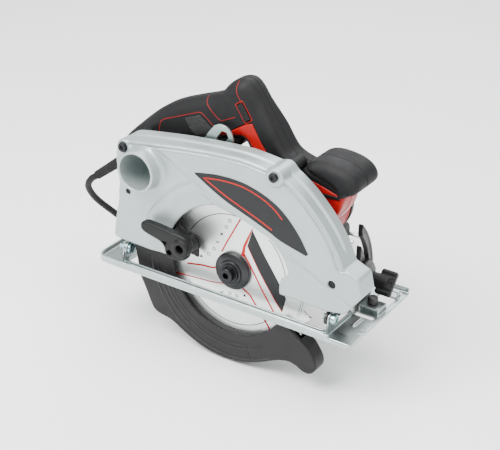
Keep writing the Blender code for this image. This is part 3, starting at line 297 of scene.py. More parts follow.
def knurl_mat():
    """Soft grip with a raised diamond pattern, its ridges painted lighter and its hollows darker as painted light and
    shade.
    """
    n = Nodes("soft_knurl")
    n.set(**{"Specular IOR Level": 0.5})
    sep = n.add("ShaderNodeSeparateXYZ")
    n.link(n.co, sep.inputs[0])
    u = n.math("ADD", sep.outputs["X"], n.math("MULTIPLY", sep.outputs["Z"], 0.45))
    w = n.math("SUBTRACT", sep.outputs["X"], n.math("MULTIPLY", sep.outputs["Z"], 1.1))
    a = n.math("SINE", n.math("MULTIPLY", u, 2300.0), 0.0)
    b = n.math("SINE", n.math("MULTIPLY", w, 1500.0), 0.0)
    h = n.math("MULTIPLY", a, b)
    # painted light and shade: the colour follows the relief, darker in the hollows and lighter on the ridges
    col = n.mix(n.ramp(h, -0.4, 0.7, 0, 1), (0.004, 0.004, 0.004), (0.026, 0.026, 0.026))
    return finish_mat(n, col, n.ramp(n.noise(80, 3), 0.3, 0.7, 0.45, 0.6), n.bump(h, 0.9, 0.0006))


M_KNURL = knurl_mat()


# ------------------------------------------------------------------ piece helpers
def place(name, me, mat, body, replaced=(), smooth=True):
    ob = bpy.data.objects.new(name, me)
    bpy.context.scene.collection.objects.link(ob)
    me.materials.clear()
    me.materials.append(mat)
    if smooth:
        me.shade_smooth()
    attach(ob, body)
    if replaced:
        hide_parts(*replaced)
    return ob


def skin(node, mat, width=0.4, seg=2, angle=38.0, name=None):
    """The CAD node's own shape with welded, bevelled and smoothly shaded edges."""
    me = NODES[node].data.copy()
    bm = bmesh.new()
    bm.from_mesh(me)
    bmesh.ops.remove_doubles(bm, verts=bm.verts, dist=5e-6)
    bmesh.ops.dissolve_limit(bm, angle_limit=math.radians(0.6), verts=bm.verts, edges=bm.edges)
    bm.to_mesh(me)
    bm.free()
    me.name = node + "_fine"
    ob = place(name or node + "_fine", me, mat, BODY[node], (node,))
    if width:
        bv = ob.modifiers.new("edges", "BEVEL")
        bv.width = width * 0.001
        bv.segments = seg
        bv.limit_method = "ANGLE"
        bv.angle_limit = math.radians(angle)
        bv.use_clamp_overlap = True
        bv.miter_outer = "MITER_ARC"
    me.set_sharp_from_angle(angle=math.radians(angle + 8))
    return ob


def lathe(name, profile, axis, centre, mat, body, replaced=(), steps=72, edge=0.35, closed=False, sharp=30.0):
    """Turned piece with slightly rounded corners; profile is (radius, place along the axis)."""
    pts = [Vector(p) for p in profile]
    out = []
    k = len(pts)
    for i, p in enumerate(pts):
        if (not closed and i in (0, k - 1)) or edge <= 0:
            out.append(tuple(p))
            continue
        a, c = pts[i - 1], pts[(i + 1) % k]
        u, v = a - p, c - p
        d = min(edge, u.length * 0.4, v.length * 0.4)
        p0, p1 = p + u.normalized() * d, p + v.normalized() * d
        for t in (0, 0.5, 1):
            q = p0 * (1 - t) ** 2 + p * 2 * t * (1 - t) + p1 * t * t
            out.append((q.x, q.y))
    if closed:
        out.append(out[0])
    verts, faces, ring = [], [], []
    for r, t in out:
        if r < 1e-6:
            ring.append([len(verts)])
            verts.append(_turn(axis, centre, 0, 0, t))
        else:
            ring.append(list(range(len(verts), len(verts) + steps)))
            for j in range(steps):
                verts.append(_turn(axis, centre, r, tau * j / steps, t))
    if closed:
        ring[-1] = ring[0]
    for a, b in zip(ring, ring[1:]):
        for j in range(steps):
            j2 = (j + 1) % steps
            if len(a) == 1 and len(b) == 1:
                continue
            if len(a) == 1:
                faces.append((a[0], b[j2], b[j]))
            elif len(b) == 1:
                faces.append((a[j], a[j2], b[0]))
            else:
                faces.append((a[j], a[j2], b[j2], b[j]))
    me = bpy.data.meshes.new(name)
    me.from_pydata(verts, [], faces)
    bm = bmesh.new()
    bm.from_mesh(me)
    loose = [v for v in bm.verts if not v.link_faces]
    bmesh.ops.delete(bm, geom=loose, context="VERTS")
    bmesh.ops.recalc_face_normals(bm, faces=bm.faces)
    bm.to_mesh(me)
    bm.free()
    ob = place(name, me, mat, body, replaced)
    me.set_sharp_from_angle(angle=math.radians(sharp))
    return ob


def _turn(axis, c, r, a, t):
    u, v = r * math.cos(a), r * math.sin(a)
    if axis == "Y":
        return B(c[0] + u, t, c[1] + v)
    if axis == "X":
        return B(t, c[0] + u, c[1] + v)
    return B(c[0] + u, c[1] + v, t)


def arc(c, r, a0, a1, n):
    return [(c[0] + r * math.cos(math.radians(a0 + (a1 - a0) * i / n)),
             c[1] + r * math.sin(math.radians(a0 + (a1 - a0) * i / n))) for i in range(n + 1)]


def rounded(pts, r, n=4):
    out = []
    k = len(pts)
    for i, p in enumerate(pts):
        rr = r[i] if isinstance(r, (list, tuple)) else r
        a, b, c = Vector(pts[i - 1]), Vector(p), Vector(pts[(i + 1) % k])
        if rr <= 0:
            out.append(tuple(b))
            continue
        u, v = (a - b), (c - b)
        d = min(rr / math.tan(u.angle(v) / 2), u.length * 0.48, v.length * 0.48)
        p0, p1 = b + u.normalized() * d, b + v.normalized() * d
        for j in range(n + 1):
            t = j / n
            q = p0 * (1 - t) ** 2 + b * 2 * t * (1 - t) + p1 * t * t
            out.append((q.x, q.y))
    return out


def soften(pts, n=4, closed=True):
    """Catmull-Rom through the points."""
    v = [Vector(p) for p in pts]
    k = len(v)
    out = []
    for i in range(k if closed else k - 1):
        if closed:
            p0, p1, p2, p3 = v[i - 1], v[i], v[(i + 1) % k], v[(i + 2) % k]
        else:
            p1, p2 = v[i], v[i + 1]
            p0 = v[i - 1] if i else p1 * 2 - p2
            p3 = v[i + 2] if i + 2 < k else p2 * 2 - p1
        for j in range(n):
            t = j / n
            q = 0.5 * ((2 * p1) + (p2 - p0) * t + (2 * p0 - 5 * p1 + 4 * p2 - p3) * t * t + (3 * p1 - p0 - 3 * p2 + p3) * t ** 3)
            out.append(tuple(q))
    if not closed:
        out.append(tuple(v[-1]))
    return out


# --------------------------------------------------- surfaces from distance fields
def poly(pts):
    """Signed distance to a closed outline, negative inside."""
    A = np.array(pts, float)
    E = np.roll(A, -1, 0) - A

    def f(x, y):
        best = np.full(np.broadcast(x, y).shape, 1e12)
        inside = np.zeros(best.shape, bool)
        for (ax, ay), (ex, ey) in zip(A, E):
            ll = ex * ex + ey * ey
            if ll < 1e-12:
                continue
            wx, wy = x - ax, y - ay
            t = np.clip((wx * ex + wy * ey) / ll, 0, 1)
            best = np.minimum(best, (wx - t * ex) ** 2 + (wy - t * ey) ** 2)
            if abs(ey) > 1e-9:
                cond = (ay <= y) != (ay + ey <= y)
                inside ^= cond & (x < ax + (y - ay) * ex / ey)
        d = np.sqrt(best)
        return np.where(inside, -d, d)
    return f


def line(pts):
    """Distance to an open polyline."""
    A = np.array(pts, float)

    def f(x, y):
        best = np.full(np.broadcast(x, y).shape, 1e12)
        for (ax, ay), (bx, by) in zip(A[:-1], A[1:]):
            ex, ey = bx - ax, by - ay
            ll = ex * ex + ey * ey + 1e-12
            t = np.clip(((x - ax) * ex + (y - ay) * ey) / ll, 0, 1)
            best = np.minimum(best, (x - ax - t * ex) ** 2 + (y - ay - t * ey) ** 2)
        return np.sqrt(best)
    return f


def ext(d2, w, lo, hi, R=0.0, Rlo=None, Rhi=None):
    """Outline distance d2 extruded from lo to hi along w, with rounded rims."""
    Rlo = R if Rlo is None else Rlo
    Rhi = R if Rhi is None else Rhi

    def side(dw, r):
        a, b = d2 + r, dw + r
        return np.minimum(np.maximum(a, b), 0) + np.hypot(np.maximum(a, 0), np.maximum(b, 0)) - r
    return np.maximum(side(lo - w, Rlo), side(w - hi, Rhi))


def union(*a):
    out = a[0]
    for b in a[1:]:
        out = np.minimum(out, b)
    return out


def blend(a, b, k):
    h = np.clip(0.5 + 0.5 * (b - a) / k, 0, 1)
    return b * (1 - h) + a * h - k * h * (1 - h)


def carve(a, b, k=0.0):
    return np.maximum(a, -b) if not k else -blend(-a, b, k)


def ball2(x, y, c, r):
    return np.hypot(x - c[0], y - c[1]) - r


def surface(name, field, lo, hi, h, mat, body, replaced=(), relax=1):
    """Smooth quad mesh of the zero surface of field(x, y, z) on a grid with spacing h."""
    n = [int(math.ceil((b - a) / h)) + 1 for a, b in zip(lo, hi)]
    ax = [np.arange(k) * h + a for k, a in zip(n, lo)]
    X, Y, Z = ax[0][:, None, None], ax[1][None, :, None], ax[2][None, None, :]
    v = np.ascontiguousarray(np.broadcast_to(field(X, Y, Z), n)).astype(np.float32)
    v[[0, -1]] = np.maximum(v[[0, -1]], 0.01)
    v[:, [0, -1]] = np.maximum(v[:, [0, -1]], 0.01)
    v[:, :, [0, -1]] = np.maximum(v[:, :, [0, -1]], 0.01)
    s = v < 0
    c = np.zeros([k - 1 for k in n], np.uint8)
    for i in (0, 1):
        for j in (0, 1):
            for k in (0, 1):
                c += s[i:n[0] - 1 + i, j:n[1] - 1 + j, k:n[2] - 1 + k]
    I, J, K = np.nonzero((c > 0) & (c < 8))
    idx = np.full(c.shape, -1, np.int64)
    idx[I, J, K] = np.arange(len(I))
    acc, cnt = np.zeros((len(I), 3)), np.zeros(len(I))
    corners = [(i, j, k) for i in (0, 1) for j in (0, 1) for k in (0, 1)]
    for a in corners:
        for b in corners:
            if sum(q - p for p, q in zip(a, b)) == 1 and sum(abs(q - p) for p, q in zip(a, b)) == 1:
                va, vb = v[I + a[0], J + a[1], K + a[2]], v[I + b[0], J + b[1], K + b[2]]
                m = (va < 0) != (vb < 0)
                t = np.where(m, va / np.where(m, va - vb, 1), 0)
                for q in range(3):
                    acc[:, q] += np.where(m, a[q] + t * (b[q] - a[q]), 0)
                cnt += m
    P = np.stack([I, J, K], 1) + acc / cnt[:, None]
    quads = []
    for axis in range(3):
        o1, o2 = [(1, 2), (2, 0), (0, 1)][axis]
        sl_a = [slice(None)] * 3
        sl_b = [slice(None)] * 3
        sl_a[axis], sl_b[axis] = slice(0, -1), slice(1, None)
        sa, sb = s[tuple(sl_a)], s[tuple(sl_b)]
        e = np.nonzero(sa != sb)
        inside_first = sa[e]
        base = [np.array(q) for q in e]
        ok = (base[o1] > 0) & (base[o2] > 0) & (base[o1] < n[o1] - 1) & (base[o2] < n[o2] - 1)
        base = [q[ok] for q in base]
        inside_first = inside_first[ok]

        def cell(d1, d2):
            q = [b.copy() for b in base]
            q[o1] = q[o1] - d1
            q[o2] = q[o2] - d2
            return idx[tuple(q)]
        f = np.stack([cell(1, 1), cell(0, 1), cell(0, 0), cell(1, 0)], 1)
        f[~inside_first] = f[~inside_first][:, ::-1]
        quads.append(f)
    F = np.concatenate(quads)
    # one or two Newton steps to the true surface, by the field's own gradient
    W = P * h + np.array(lo)
    for _ in range(relax):
        def at(w):
            out = np.empty(len(w))
            for i0 in range(0, len(w), 200000):
                q = w[i0:i0 + 200000]
                out[i0:i0 + 200000] = _tri(v, (q - np.array(lo)) / h)
            return out
        d = at(W)
        g = np.stack([at(W + np.eye(3)[i] * h * 0.5) - at(W - np.eye(3)[i] * h * 0.5) for i in range(3)], 1) / h
        gg = (g * g).sum(1)
        step = g * (d / np.maximum(gg, 0.25))[:, None]
        W = W - np.clip(step, -0.5 * h, 0.5 * h)
    W = W + np.array((0, DY, 0))
    me = bpy.data.meshes.new(name)
    me.vertices.add(len(W))
    me.vertices.foreach_set("co", (W * 0.001).astype(np.float32).ravel())
    me.loops.add(4 * len(F))
    me.loops.foreach_set("vertex_index", F.astype(np.int32).ravel())
    me.polygons.add(len(F))
    me.polygons.foreach_set("loop_start", np.arange(0, 4 * len(F), 4, dtype=np.int32))
    me.update(calc_edges=True)
    me.validate()
    return place(name, me, mat, body, replaced)


def _tri(v, p):
    lim = np.array(v.shape) - 1.001
    p = np.clip(p, 0, lim)
    i = p.astype(int)
    f = p - i
    out = 0
    for a in (0, 1):
        for b in (0, 1):
            for c in (0, 1):
                w = (f[:, 0] if a else 1 - f[:, 0]) * (f[:, 1] if b else 1 - f[:, 1]) * (f[:, 2] if c else 1 - f[:, 2])
                out = out + w * v[i[:, 0] + a, i[:, 1] + b, i[:, 2] + c]
    return out


def sheet_on(name, loops, height, thick, mat, body, replaced=(), step=5.0, y0=0.0):
    """Thin film with the given outline that follows the surface y = height(x, z) on its near side."""
    cu = bpy.data.curves.new(name, "CURVE")
    cu.dimensions = "2D"
    cu.fill_mode = "BOTH"
    cu.extrude = thick * 0.0005
    for loop in loops:
        sp = cu.splines.new("POLY")
        sp.points.add(len(loop) - 1)
        for p, (u, w) in zip(sp.points, loop):
            p.co = (u * 0.001, w * 0.001, 0, 1)
        sp.use_cyclic_u = True
    tmp = bpy.data.objects.new("tmp", cu)
    bpy.context.scene.collection.objects.link(tmp)
    bpy.context.view_layer.update()
    me = bpy.data.meshes.new_from_object(tmp.evaluated_get(bpy.context.evaluated_depsgraph_get()))
    bpy.data.objects.remove(tmp)
    bm = bmesh.new()
    bm.from_mesh(me)
    bmesh.ops.remove_doubles(bm, verts=bm.verts, dist=2e-6)
    if step:
        for ax_i in (0, 1):
            q = [v.co[ax_i] for v in bm.verts]
            a = min(q) + step * 0.001
            while a < max(q):
                co, no = [0, 0, 0], [0, 0, 0]
                co[ax_i], no[ax_i] = a, 1
                bmesh.ops.bisect_plane(bm, geom=bm.verts[:] + bm.edges[:] + bm.faces[:], dist=1e-7, plane_co=co, plane_no=no)
                a += step * 0.001
    for v in bm.verts:
        x, z, t = v.co.x * 1000, v.co.y * 1000, v.co.z * 1000
        y = float(height(np.array(x), np.array(z)))
        v.co = B(x, y - t - thick / 2 + y0, z)
    bmesh.ops.recalc_face_normals(bm, faces=bm.faces)
    bm.to_mesh(me)
    bm.free()
    me.name = name
    ob = place(name, me, mat, body, replaced, smooth=False)
    return ob


def strip(pts, width):
    """Closed outline of a line of that width."""
    v = [Vector(p) for p in pts]
    L, R = [], []
    for i, p in enumerate(v):
        d = (v[min(i + 1, len(v) - 1)] - v[max(i - 1, 0)]).normalized()
        nrm = Vector((-d.y, d.x)) * width / 2
        L.append(tuple(p + nrm))
        R.append(tuple(p - nrm))
    return L + R[::-1]


# -------------------------------------------------------------------------- cord
def smooth_path(pts, step):
    v = [Vector(p) for p in pts]
    v = [v[0] * 2 - v[1]] + v + [v[-1] * 2 - v[-2]]
    dense = []
    for i in range(1, len(v) - 2):
        p0, p1, p2, p3 = v[i - 1:i + 3]
        for j in range(40):
            t = j / 40
            dense.append(0.5 * ((2 * p1) + (p2 - p0) * t + (2 * p0 - 5 * p1 + 4 * p2 - p3) * t * t
                                + (3 * p1 - p0 - 3 * p2 + p3) * t ** 3))
    dense.append(v[-2])
    total = sum((b - a).length for a, b in zip(dense, dense[1:]))
    n = max(2, round(total / step))
    out, want, run = [dense[0]], total / n, 0.0
    for a, b in zip(dense, dense[1:]):
        run += (b - a).length
        if run >= want * len(out) and len(out) < n:
            out.append(b)
    out.append(dense[-1])
    return out


CORD_R = 3.75
S0, S1 = Vector((-154.8, 45.0, 104.1)), Vector((-209.0, 44.0, 59.9))
U_S = (S1 - S0).normalized()
COIL = Vector((-118.0, 226.0, 0))


def ease(t, a, b):
    t = min(1.0, max(0.0, (t - a) / (b - a)))
    return t * t * (3 - 2 * t)


def coil_point(t):
    """Turn number t: three turns inwards on the floor, out again on the second layer, then the top."""
    r = 60.35 - 7.95 * ease(t, 0.0, 0.32) - 7.72 * ease(t, 1.0, 1.3) - 7.72 * ease(t, 2.0, 2.3) \
        + 7.72 * ease(t, 3.33, 3.63) + 7.72 * ease(t, 4.33, 4.63) + 8.1 * ease(t, 5.86, 6.1)
    z = FLOOR + CORD_R + 0.3 + 7.7 * ease(t, 2.64, 3.0) + 7.7 * ease(t, 5.0, 5.34)
    a = math.pi - tau * t
    return Vector((COIL.x + r * math.cos(a), COIL.y + r * math.sin(a), z))


def make_cord():
    zf = FLOOR + CORD_R + 0.3
    route = [tuple(S1 + U_S * 0.3), tuple(S1 + U_S * 12), (-226.4, 49.3, 38.9), (-228.2, 65.6, 17.4), (-221.5, 91, -9), (-211, 118, -37),
             (-202, 143, -60), (-193.5, 165, zf + 2.0), (-186.0, 186, zf), (-179.6, 207, zf), tuple(coil_point(0.0))]
    pts = smooth_path(route, 9.0)[:-1]
    k = 30
    pts += [coil_point(i / k) for i in range(0, int(6.25 * k) + 1)]
    end = coil_point(6.25)
    tail = [tuple(end), (-102, 286.7, end.z + 0.2), (-88, 286.9, -57.2), (-78, 287, -58.3), (-69.3, 287, -58.5)]
    pts += smooth_path(tail, 6.0)[1:]
    cu = bpy.data.curves.new("cord", "CURVE")
    cu.dimensions = "3D"
    cu.bevel_depth = CORD_R * 0.001
    cu.bevel_resolution = 5
    cu.use_fill_caps = True
    sp = cu.splines.new("POLY")
    sp.points.add(len(pts) - 1)
    for p, q in zip(sp.points, pts):
        p.co = (*B(*q), 1)
    sp.use_smooth = True
    ob = bpy.data.objects.new("cord", cu)
    cu.materials.append(M_RUBBER)
    bpy.context.scene.collection.objects.link(ob)
    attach(ob, "saw_body")
    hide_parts("power_cord", "cord_coil", "cord_tail")
    return ob, sum((b - a).length for a, b in zip(pts, pts[1:])) * 0.001, B(*pts[0])


def along(name, p, q, profile, mat, body, replaced=(), steps=48, edge=0.3):
    """Turned piece about the line p to q; profile is (radius, distance from p)."""
    ob = lathe(name, profile, "Z", (0, 0), mat, body, replaced, steps, edge)
    d = (Vector(q) - Vector(p)).normalized()
    rot = d.to_track_quat("Z", "Y").to_matrix().to_4x4()
    m = Matrix.Translation(B(*p)) @ rot @ Matrix.Translation(-B(0, 0, 0))
    ob.data.transform(m)
    return ob


def rib_sleeve():
    L = (S1 - S0).length
    prof = [(0, -0.2), (8.4, -0.2), (8.6, 0.4), (8.6, 5.2), (6.5, 5.8)]
    t = 7.0
    while t < L - 4:
        k = (t - 7) / (L - 11)
        r = 6.3 - 1.3 * k
        g = 0.28 if k < 0.35 else 0.5
        prof += [(r, t), (r, t + 2.6), (r - g, t + 2.9), (r - g, t + 3.7), (r - 0.05, t + 4.0)]
        t += 4.2
    prof += [(4.95, L - 0.6), (4.5, L), (0, L)]
    return along("sleeve", tuple(S0), tuple(S1), prof, M_RUBBER, "saw_body", ("strain_relief",), edge=0.2)


def make_plug():
    c = (287.0, FLOOR + 17.5)
    x = -69.1
    prof = [(0, x + 0.2), (4.6, x + 0.2), (5.0, x + 3), (5.0, x + 4.2), (4.6, x + 4.6), (4.8, x + 6.0), (5.8, x + 9), (5.4, x + 9.6), (6.0, x + 12),
            (7.0, x + 15.5), (9.5, x + 21), (13.6, x + 25), (16.4, x + 28.5), (17.3, x + 31), (16.7, x + 33), (17.3, x + 35), (16.7, x + 37),
            (17.3, x + 39), (17.4, x + 46), (0, x + 46)]
    ob = lathe("plug_body", prof, "X", c, M_RUBBER, "saw_body", ("plug",), steps=64, edge=0.8)
    pins = []
    for i, s in enumerate((-9.5, 9.5)):
        pins.append(lathe("plug_pin_%d" % (i + 1), [(0, x + 46), (2.4, x + 46), (2.4, x + 64.6), (1.5, x + 65.8), (0, x + 65.9)], "X",
                          (c[0] + s, c[1]), M_STEEL, "saw_body", (), steps=28, edge=0.3))
    return [ob] + pins


cord_ob, cord_len, cord_exit = make_cord()
sleeve_ob = rib_sleeve()
plug_obs = make_plug()

# ------------------------------------------------------------------- upper guard
GUARD_OUT = [(-142, 33), (-140.6, 45), (-138.6, 60), (-136, 77), (-137.5, 92), (-141, 112), (-141.8, 126), (-139.6, 134.5),
             (-134, 141.5), (-125, 146), (-96, 151), (-66, 155.4), (-36, 158.6), (-12, 160.6), (10, 161.6), (33, 159.8),
             (48, 157.4), (61, 153), (78, 142), (92, 130.0), (107.5, 113.6), (119.7, 96.6), (129.4, 77.5)]
guard_loop = soften(GUARD_OUT, 5, closed=False) + rounded(
    [(129.4, 77.4), (146, 71), (151.0, 53), (143, 42), (134.5, 30), (116, 26.8), (100, 26.6), (29.4, 26.6)], [0, 5, 4, 4, 4, 4, 0, 0], 4)[1:] \
    + arc(ARBOR, 29.4, -5.0, -175.0, 20)[1:-1] + [(-29.4, 27.4), (-94, 27.4), (-136, 28.8), (-141, 30)]
G2 = poly(guard_loop)
CREASE = [(-86, 142), (-34.8, 119), (-16.4, 106.5), (13, 97), (27, 91.5), (48.4, 84.3), (65.8, 77.0), (82.8, 70), (119, 53)]
CREASE_D = line(CREASE)
above = poly([(-86, 142), (-34.8, 119), (-16.4, 106.5), (13, 97), (27, 91.5), (48.4, 84.3), (65.8, 77.0), (82.8, 70), (119, 53),
              (200, 10), (200, 260), (-86, 260)])
TOP_EDGE = line([p for p in soften(GUARD_OUT, 5, closed=False) if p[0] > -128 and p[1] > 78])
DISH = line([(-98, 66), (-92.8, 76.2), (-83, 90.5), (-70.8, 104.2), (-58.8, 113.2), (-46.8, 119.9)])
PORT = (-104.0, 119.5)
window_loop = [(61.6, 15), (60.0, 35.4), (61.6, 45), (69, 52)] + arc(ARBOR, 74.0, 20, 49, 7) \
    + [(25.8, 93.5), (0, 99.5)] + arc(ARBOR, 75.0, 103, 156, 12) + [(-72.8, 41.3), (-74, 33), (-78, 15)]
WIN = poly(rounded(window_loop, [0, 2, 2, 2] + [0] * 8 + [3, 3] + [0] * 13 + [3, 3, 0], 3))
CHAMBER = poly(arc(ARBOR, 123.6, -10, 190, 48) + [(-121.5, -10), (121.5, -10)])
FRONT_BLOCK = poly([(117, 52), (120, 92), (131, 79), (146, 72), (160, 60), (160, 20), (100, 20), (100, 44)])


def near_face(x, z):
    """Y of the guard's near face: crease, dished window surround, top band and grooves."""
    ab = above(x, z) < 0
    d = CREASE_D(x, z)
    y = np.where(ab, -15.5 + np.minimum(0.085 * d, 2.9), -15.5 + np.minimum(0.05 * d, 1.0))
    r = np.hypot(x - ARBOR[0], z - ARBOR[1])
    dish = np.clip((96 - r) / 14, 0, 1)
    dish = dish * dish * (3 - 2 * dish) * np.where(ab, 0, 1) * np.clip(d / 6, 0, 1)
    y = y + dish * 1.5
    t = TOP_EDGE(x, z)
    y = y + 1.25 * np.exp(-((t - 6.4) / 1.25) ** 2) - 0.9 * np.clip((6.0 - t) / 1.2, 0, 1)
    ds = DISH(x, z)
    y = y + 0.9 * np.exp(-(ds / 1.15) ** 2) + 0.9 * np.exp(-(d / 1.2) ** 2)
    return y


def guard_field(x, y, z):
    d2 = G2(x, z)
    nf = near_face(x, z)
    d2b = np.minimum(d2, ball2(x, z, (49.4, 151.6), 9.6))
    t = np.clip((z - 84) / 10, 0, 1)
    R = 2.2 + 1.4 * t
    # the crown is stepped: its near half lies lower than the far half, with a groove between
    s = np.clip((1.0 - y) / 2.4, 0, 1)
    low = d2 + t * (1.9 * s * s * (3 - 2 * s) + 1.4 * np.exp(-((y - 0.4) / 1.2) ** 2))

    def side(dw, r):
        a, b = low + r, dw + r
        return np.minimum(np.maximum(a, b), 0) + np.hypot(np.maximum(a, 0), np.maximum(b, 0)) - r
    f = np.maximum(side(nf - y, R), side(y - 15.0, 2.0))
    # front screw boss, faired into the rim
    boss = ext(ball2(x, z, (49.4, 151.4), 9.6), y, -15.9, 14.5, R=2.2)
    f = blend(f, boss, 3.0)
    rear = ext(ball2(x, z, (-129.0, 136.0), 8.0), y, -15.7, 0.0, R=1.5)
    f = blend(f, rear, 2.0)
    # dust port with its flared root
    port = ext(ball2(x, z, PORT, 22.0), y, -30.0, -10.0, R=0.9)
    f = blend(f, port, 5.5)
    # hollow inside
    room = np.maximum(CHAMBER(x, z), np.maximum(-12.3 + 1.2 - y, y - 12.3))
    f = carve(f, room, 0.6)
    bore = np.maximum(ball2(x, z, PORT, 19.0), y - 11.9)
    f = carve(f, bore, 0.8)
    f = carve(f, np.maximum(WIN(x, z), y + 10.5), 1.6)
    f = carve(f, np.maximum(np.maximum(np.abs(x) - 31, z - 32), y + 10.5), 1.0)
    f = carve(f, np.maximum(ball2(x, z, ARBOR, 19.5), 8 - y), 0.5)
    f = carve(f, ball2(x, z, PIN, 4.3) + 0 * y, 0.9)
    f = carve(f, np.maximum(ball2(x, z, PIN, 7.6), np.maximum(6.5 - y, y - 12.3)))
    f = carve(f, np.maximum(ball2(x, z, (-64, 57.8), 3.4), 11 - y))
    f = carve(f, ball2(x, z, (-129.0, 136.0), 2.7) + 0 * y, 0.4)
    f = carve(f, ball2(x, z, (49.4, 152.6), 2.7) + 0 * y, 0.4)
    # counterbore for the rear screw, and the small hole under the port
    f = carve(f, np.maximum(ball2(x, z, (-129.0, 136.0), 5.6), y + 14.9), 0.5)
    f = carve(f, np.maximum(ball2(x, z, (-123.6, 87.0), 3.1), y + 3.0), 0.6)
    return f


surface("guard_casting", guard_field, (-146, -32, -2), (154, 17, 165), 0.78, M_SILVER, "saw_body", ("upper_guard",), relax=2)

# dark disc set in the pivot pin's hole: painted shade standing in for the shadow inside the hole
lathe("pin_hole_shade_disc", [(0, -12.6), (4.25, -12.6), (4.25, -10.6), (0, -10.6)], "Y", PIN, M_DARK, "saw_body", (), steps=40)
lathe("port_screw", [(0, -13.4), (1.1, -13.4), (1.3, -13.9), (3.05, -13.9), (3.05, -5.6), (0, -5.6)], "Y", (-123.6, 87.0), M_DARK, "saw_body", (), steps=40)

label_loop = rounded([(-41.8, 131.5), (-16, 135.5), (12.7, 135.2), (38, 128.7), (58.7, 118), (77.6, 100.2), (91, 81.8),
                      (89, 80), (60.6, 87.3), (47, 93.0), (25.8, 100.9), (-9.5, 113.7)], 3, 3)
label_loop = [(-41.8, 131.5)] + soften([(-41, 132.0), (-16, 135.7), (12.7, 135.3), (38, 128.9), (58.7, 118), (77.6, 100.2), (91, 82.0)], 6, False)[1:] \
    + soften([(89, 80), (60.6, 87.3), (47, 93.0), (25.8, 100.9), (-9.5, 113.7), (-40, 129.9)], 6, False)
sheet_on("label_film", [label_loop], near_face, 0.5, M_LABEL, "saw_body", ("guard_label",))
red_top = soften([(-31, 129.2), (-8, 131.6), (15, 130.8), (36, 124.9), (50, 117.8), (60, 109.6)], 6, False)
red_low = soften([(-31, 129.2), (-6.5, 117.6), (26, 105.6), (40, 100.2), (50, 96.0)], 6, False)
sheet_on("label_line", [strip(red_low[::-1] + red_top[1:], 1.25)], near_face, 0.2, M_LINE, "saw_body", (), y0=-0.42)

# --------------------------------------------------------------------------- blade
skin("saw_blade", M_BLADE, 0.12, 1, 40)


def flat(x, z):
    return -0.8 + 0 * x


def blade_print(name, loops, mat, y0=0.0):
    return sheet_on(name, loops, flat, 0.12, mat, "arbor", (), step=0, y0=y0)


blade_print("print_red_a", [strip([(5.1, 88.6), (-3.2, 71.6), (-10.5, 56.8), (-15.4, 45.6)], 1.7)], M_LINE)
blade_print("print_red_b", [[(20.4, 83.2), (19.2, 82.6), (13.4, 69.2), (9.8, 60.6), (7.6, 49.0), (12.0, 48.0), (12.4, 58.6), (15.8, 68.6)]], M_LINE)
blade_print("print_red_c", [strip(soften([(-57.0, 18.6), (-47, 20.6), (-38.1, 22.4), (-27, 23.4), (-19.3, 26.4)], 4, False), 2.0)], M_LINE)
blade_print("print_red_d", [strip([(-70.8, 2.9), (-48.5, 5.0), (-26.6, 6.6), (-7.7, 10.5)], 1.2)], M_LINE)
blade_print("print_red_e", [strip([(9.8, 12.6), (20.3, 6.7), (29.1, -4.0), (37.0, -14.0), (42.3, -20.0), (46.2, -26.0)], 2.0)], M_LINE)
blade_print("print_red_l", [strip([(11.5, 50.7), (23.0, 34.3), (34.2, 17.2), (48.6, -2.4), (56, -12)], 1.9)], M_LINE)
blade_print("print_band", [[(19.6, 80.4), (34.8, 57.1), (52.5, 32.8), (62.5, 17.0), (59.0, 0.5), (49.5, 11.0), (30.8, 36.0), (14.4, 61.0)]], M_LABEL)
blade_print("print_band_line", [strip([(14.6, 61.5), (30.6, 36.0), (49.3, 11.0), (58.8, 0.3)], 0.8)], M_LINE, -0.13)
for i, (ra, a0, a1) in enumerate([(61.2, 12, 50), (61.2, 84, 152), (61.6, -152, -44), (68.5, -148, -58), (74.5, -146, -66), (83, -20, 8), (80.6, -20, 8)]):
    blade_print("print_ring_%d" % (i + 1), [strip(arc(ARBOR, ra, a0, a1, 40), 0.8 if i < 3 else 0.45)], M_INK)
# generic marks: open squares, triangles and discs along two spokes
marks = [(-7.2, 83.0), (-10.9, 75.0), (-16.2, 65.6), (-21.1, 55.2), (-24.8, 45.8), (-31.0, 37.8), (-40.2, 32.6), (-13.6, -0.6), (-3.8, 0.6), (4.8, 0.4), (13.9, 4.2)]
for i, c in enumerate(marks):
    k = i % 4
    if k == 0:
        loops = [arc(c, 2.0, 0, 330, 11), arc(c, 1.3, 0, 330, 11)[::-1]]
    elif k == 1:
        loops = [[(c[0] - 1.7, c[1] - 1.9), (c[0] + 2.0, c[1] - 1.4), (c[0] + 1.5, c[1] + 2.0), (c[0] - 2.0, c[1] + 1.5)],
                 [(c[0] - 1.1, c[1] - 1.2), (c[0] + 1.3, c[1] - 0.9), (c[0] + 1.0, c[1] + 1.3), (c[0] - 1.3, c[1] + 1.0)][::-1]]
    elif k == 2:
        loops = [[(c[0] - 2.0, c[1] - 1.5), (c[0] + 1.9, c[1] - 1.2), (c[0] + 0.2, c[1] + 2.1)]]
    else:
        loops = [[(c[0] - 2.1, c[1] - 0.9), (c[0] + 0.4, c[1] - 2.0), (c[0] + 2.1, c[1] + 0.6), (c[0] + 1.2, c[1] + 1.3), (c[0] + 0.2, c[1] - 0.9), (c[0] - 1.6, c[1] + 0.3)]]
    blade_print("print_mark_%02d" % (i + 1), loops, M_INK)
# carbide tips
tip_me = None
for i in range(24):
    a = -360.0 * i / 24
    loop = []
    for r, d in ((95.25, 0.15), (94.4, -2.0), (88.2, -1.6), (88.0, 0.35)):
        t = math.radians(a + d)
        loop.append((ARBOR[0] + r * math.cos(t), ARBOR[1] + r * math.sin(t)))
    sheet_on("tooth_tip_%02d" % (i + 1), [loop], lambda x, z: -1.25 + 0 * x, 2.5, M_STEEL, "arbor", (), step=0, y0=2.5)

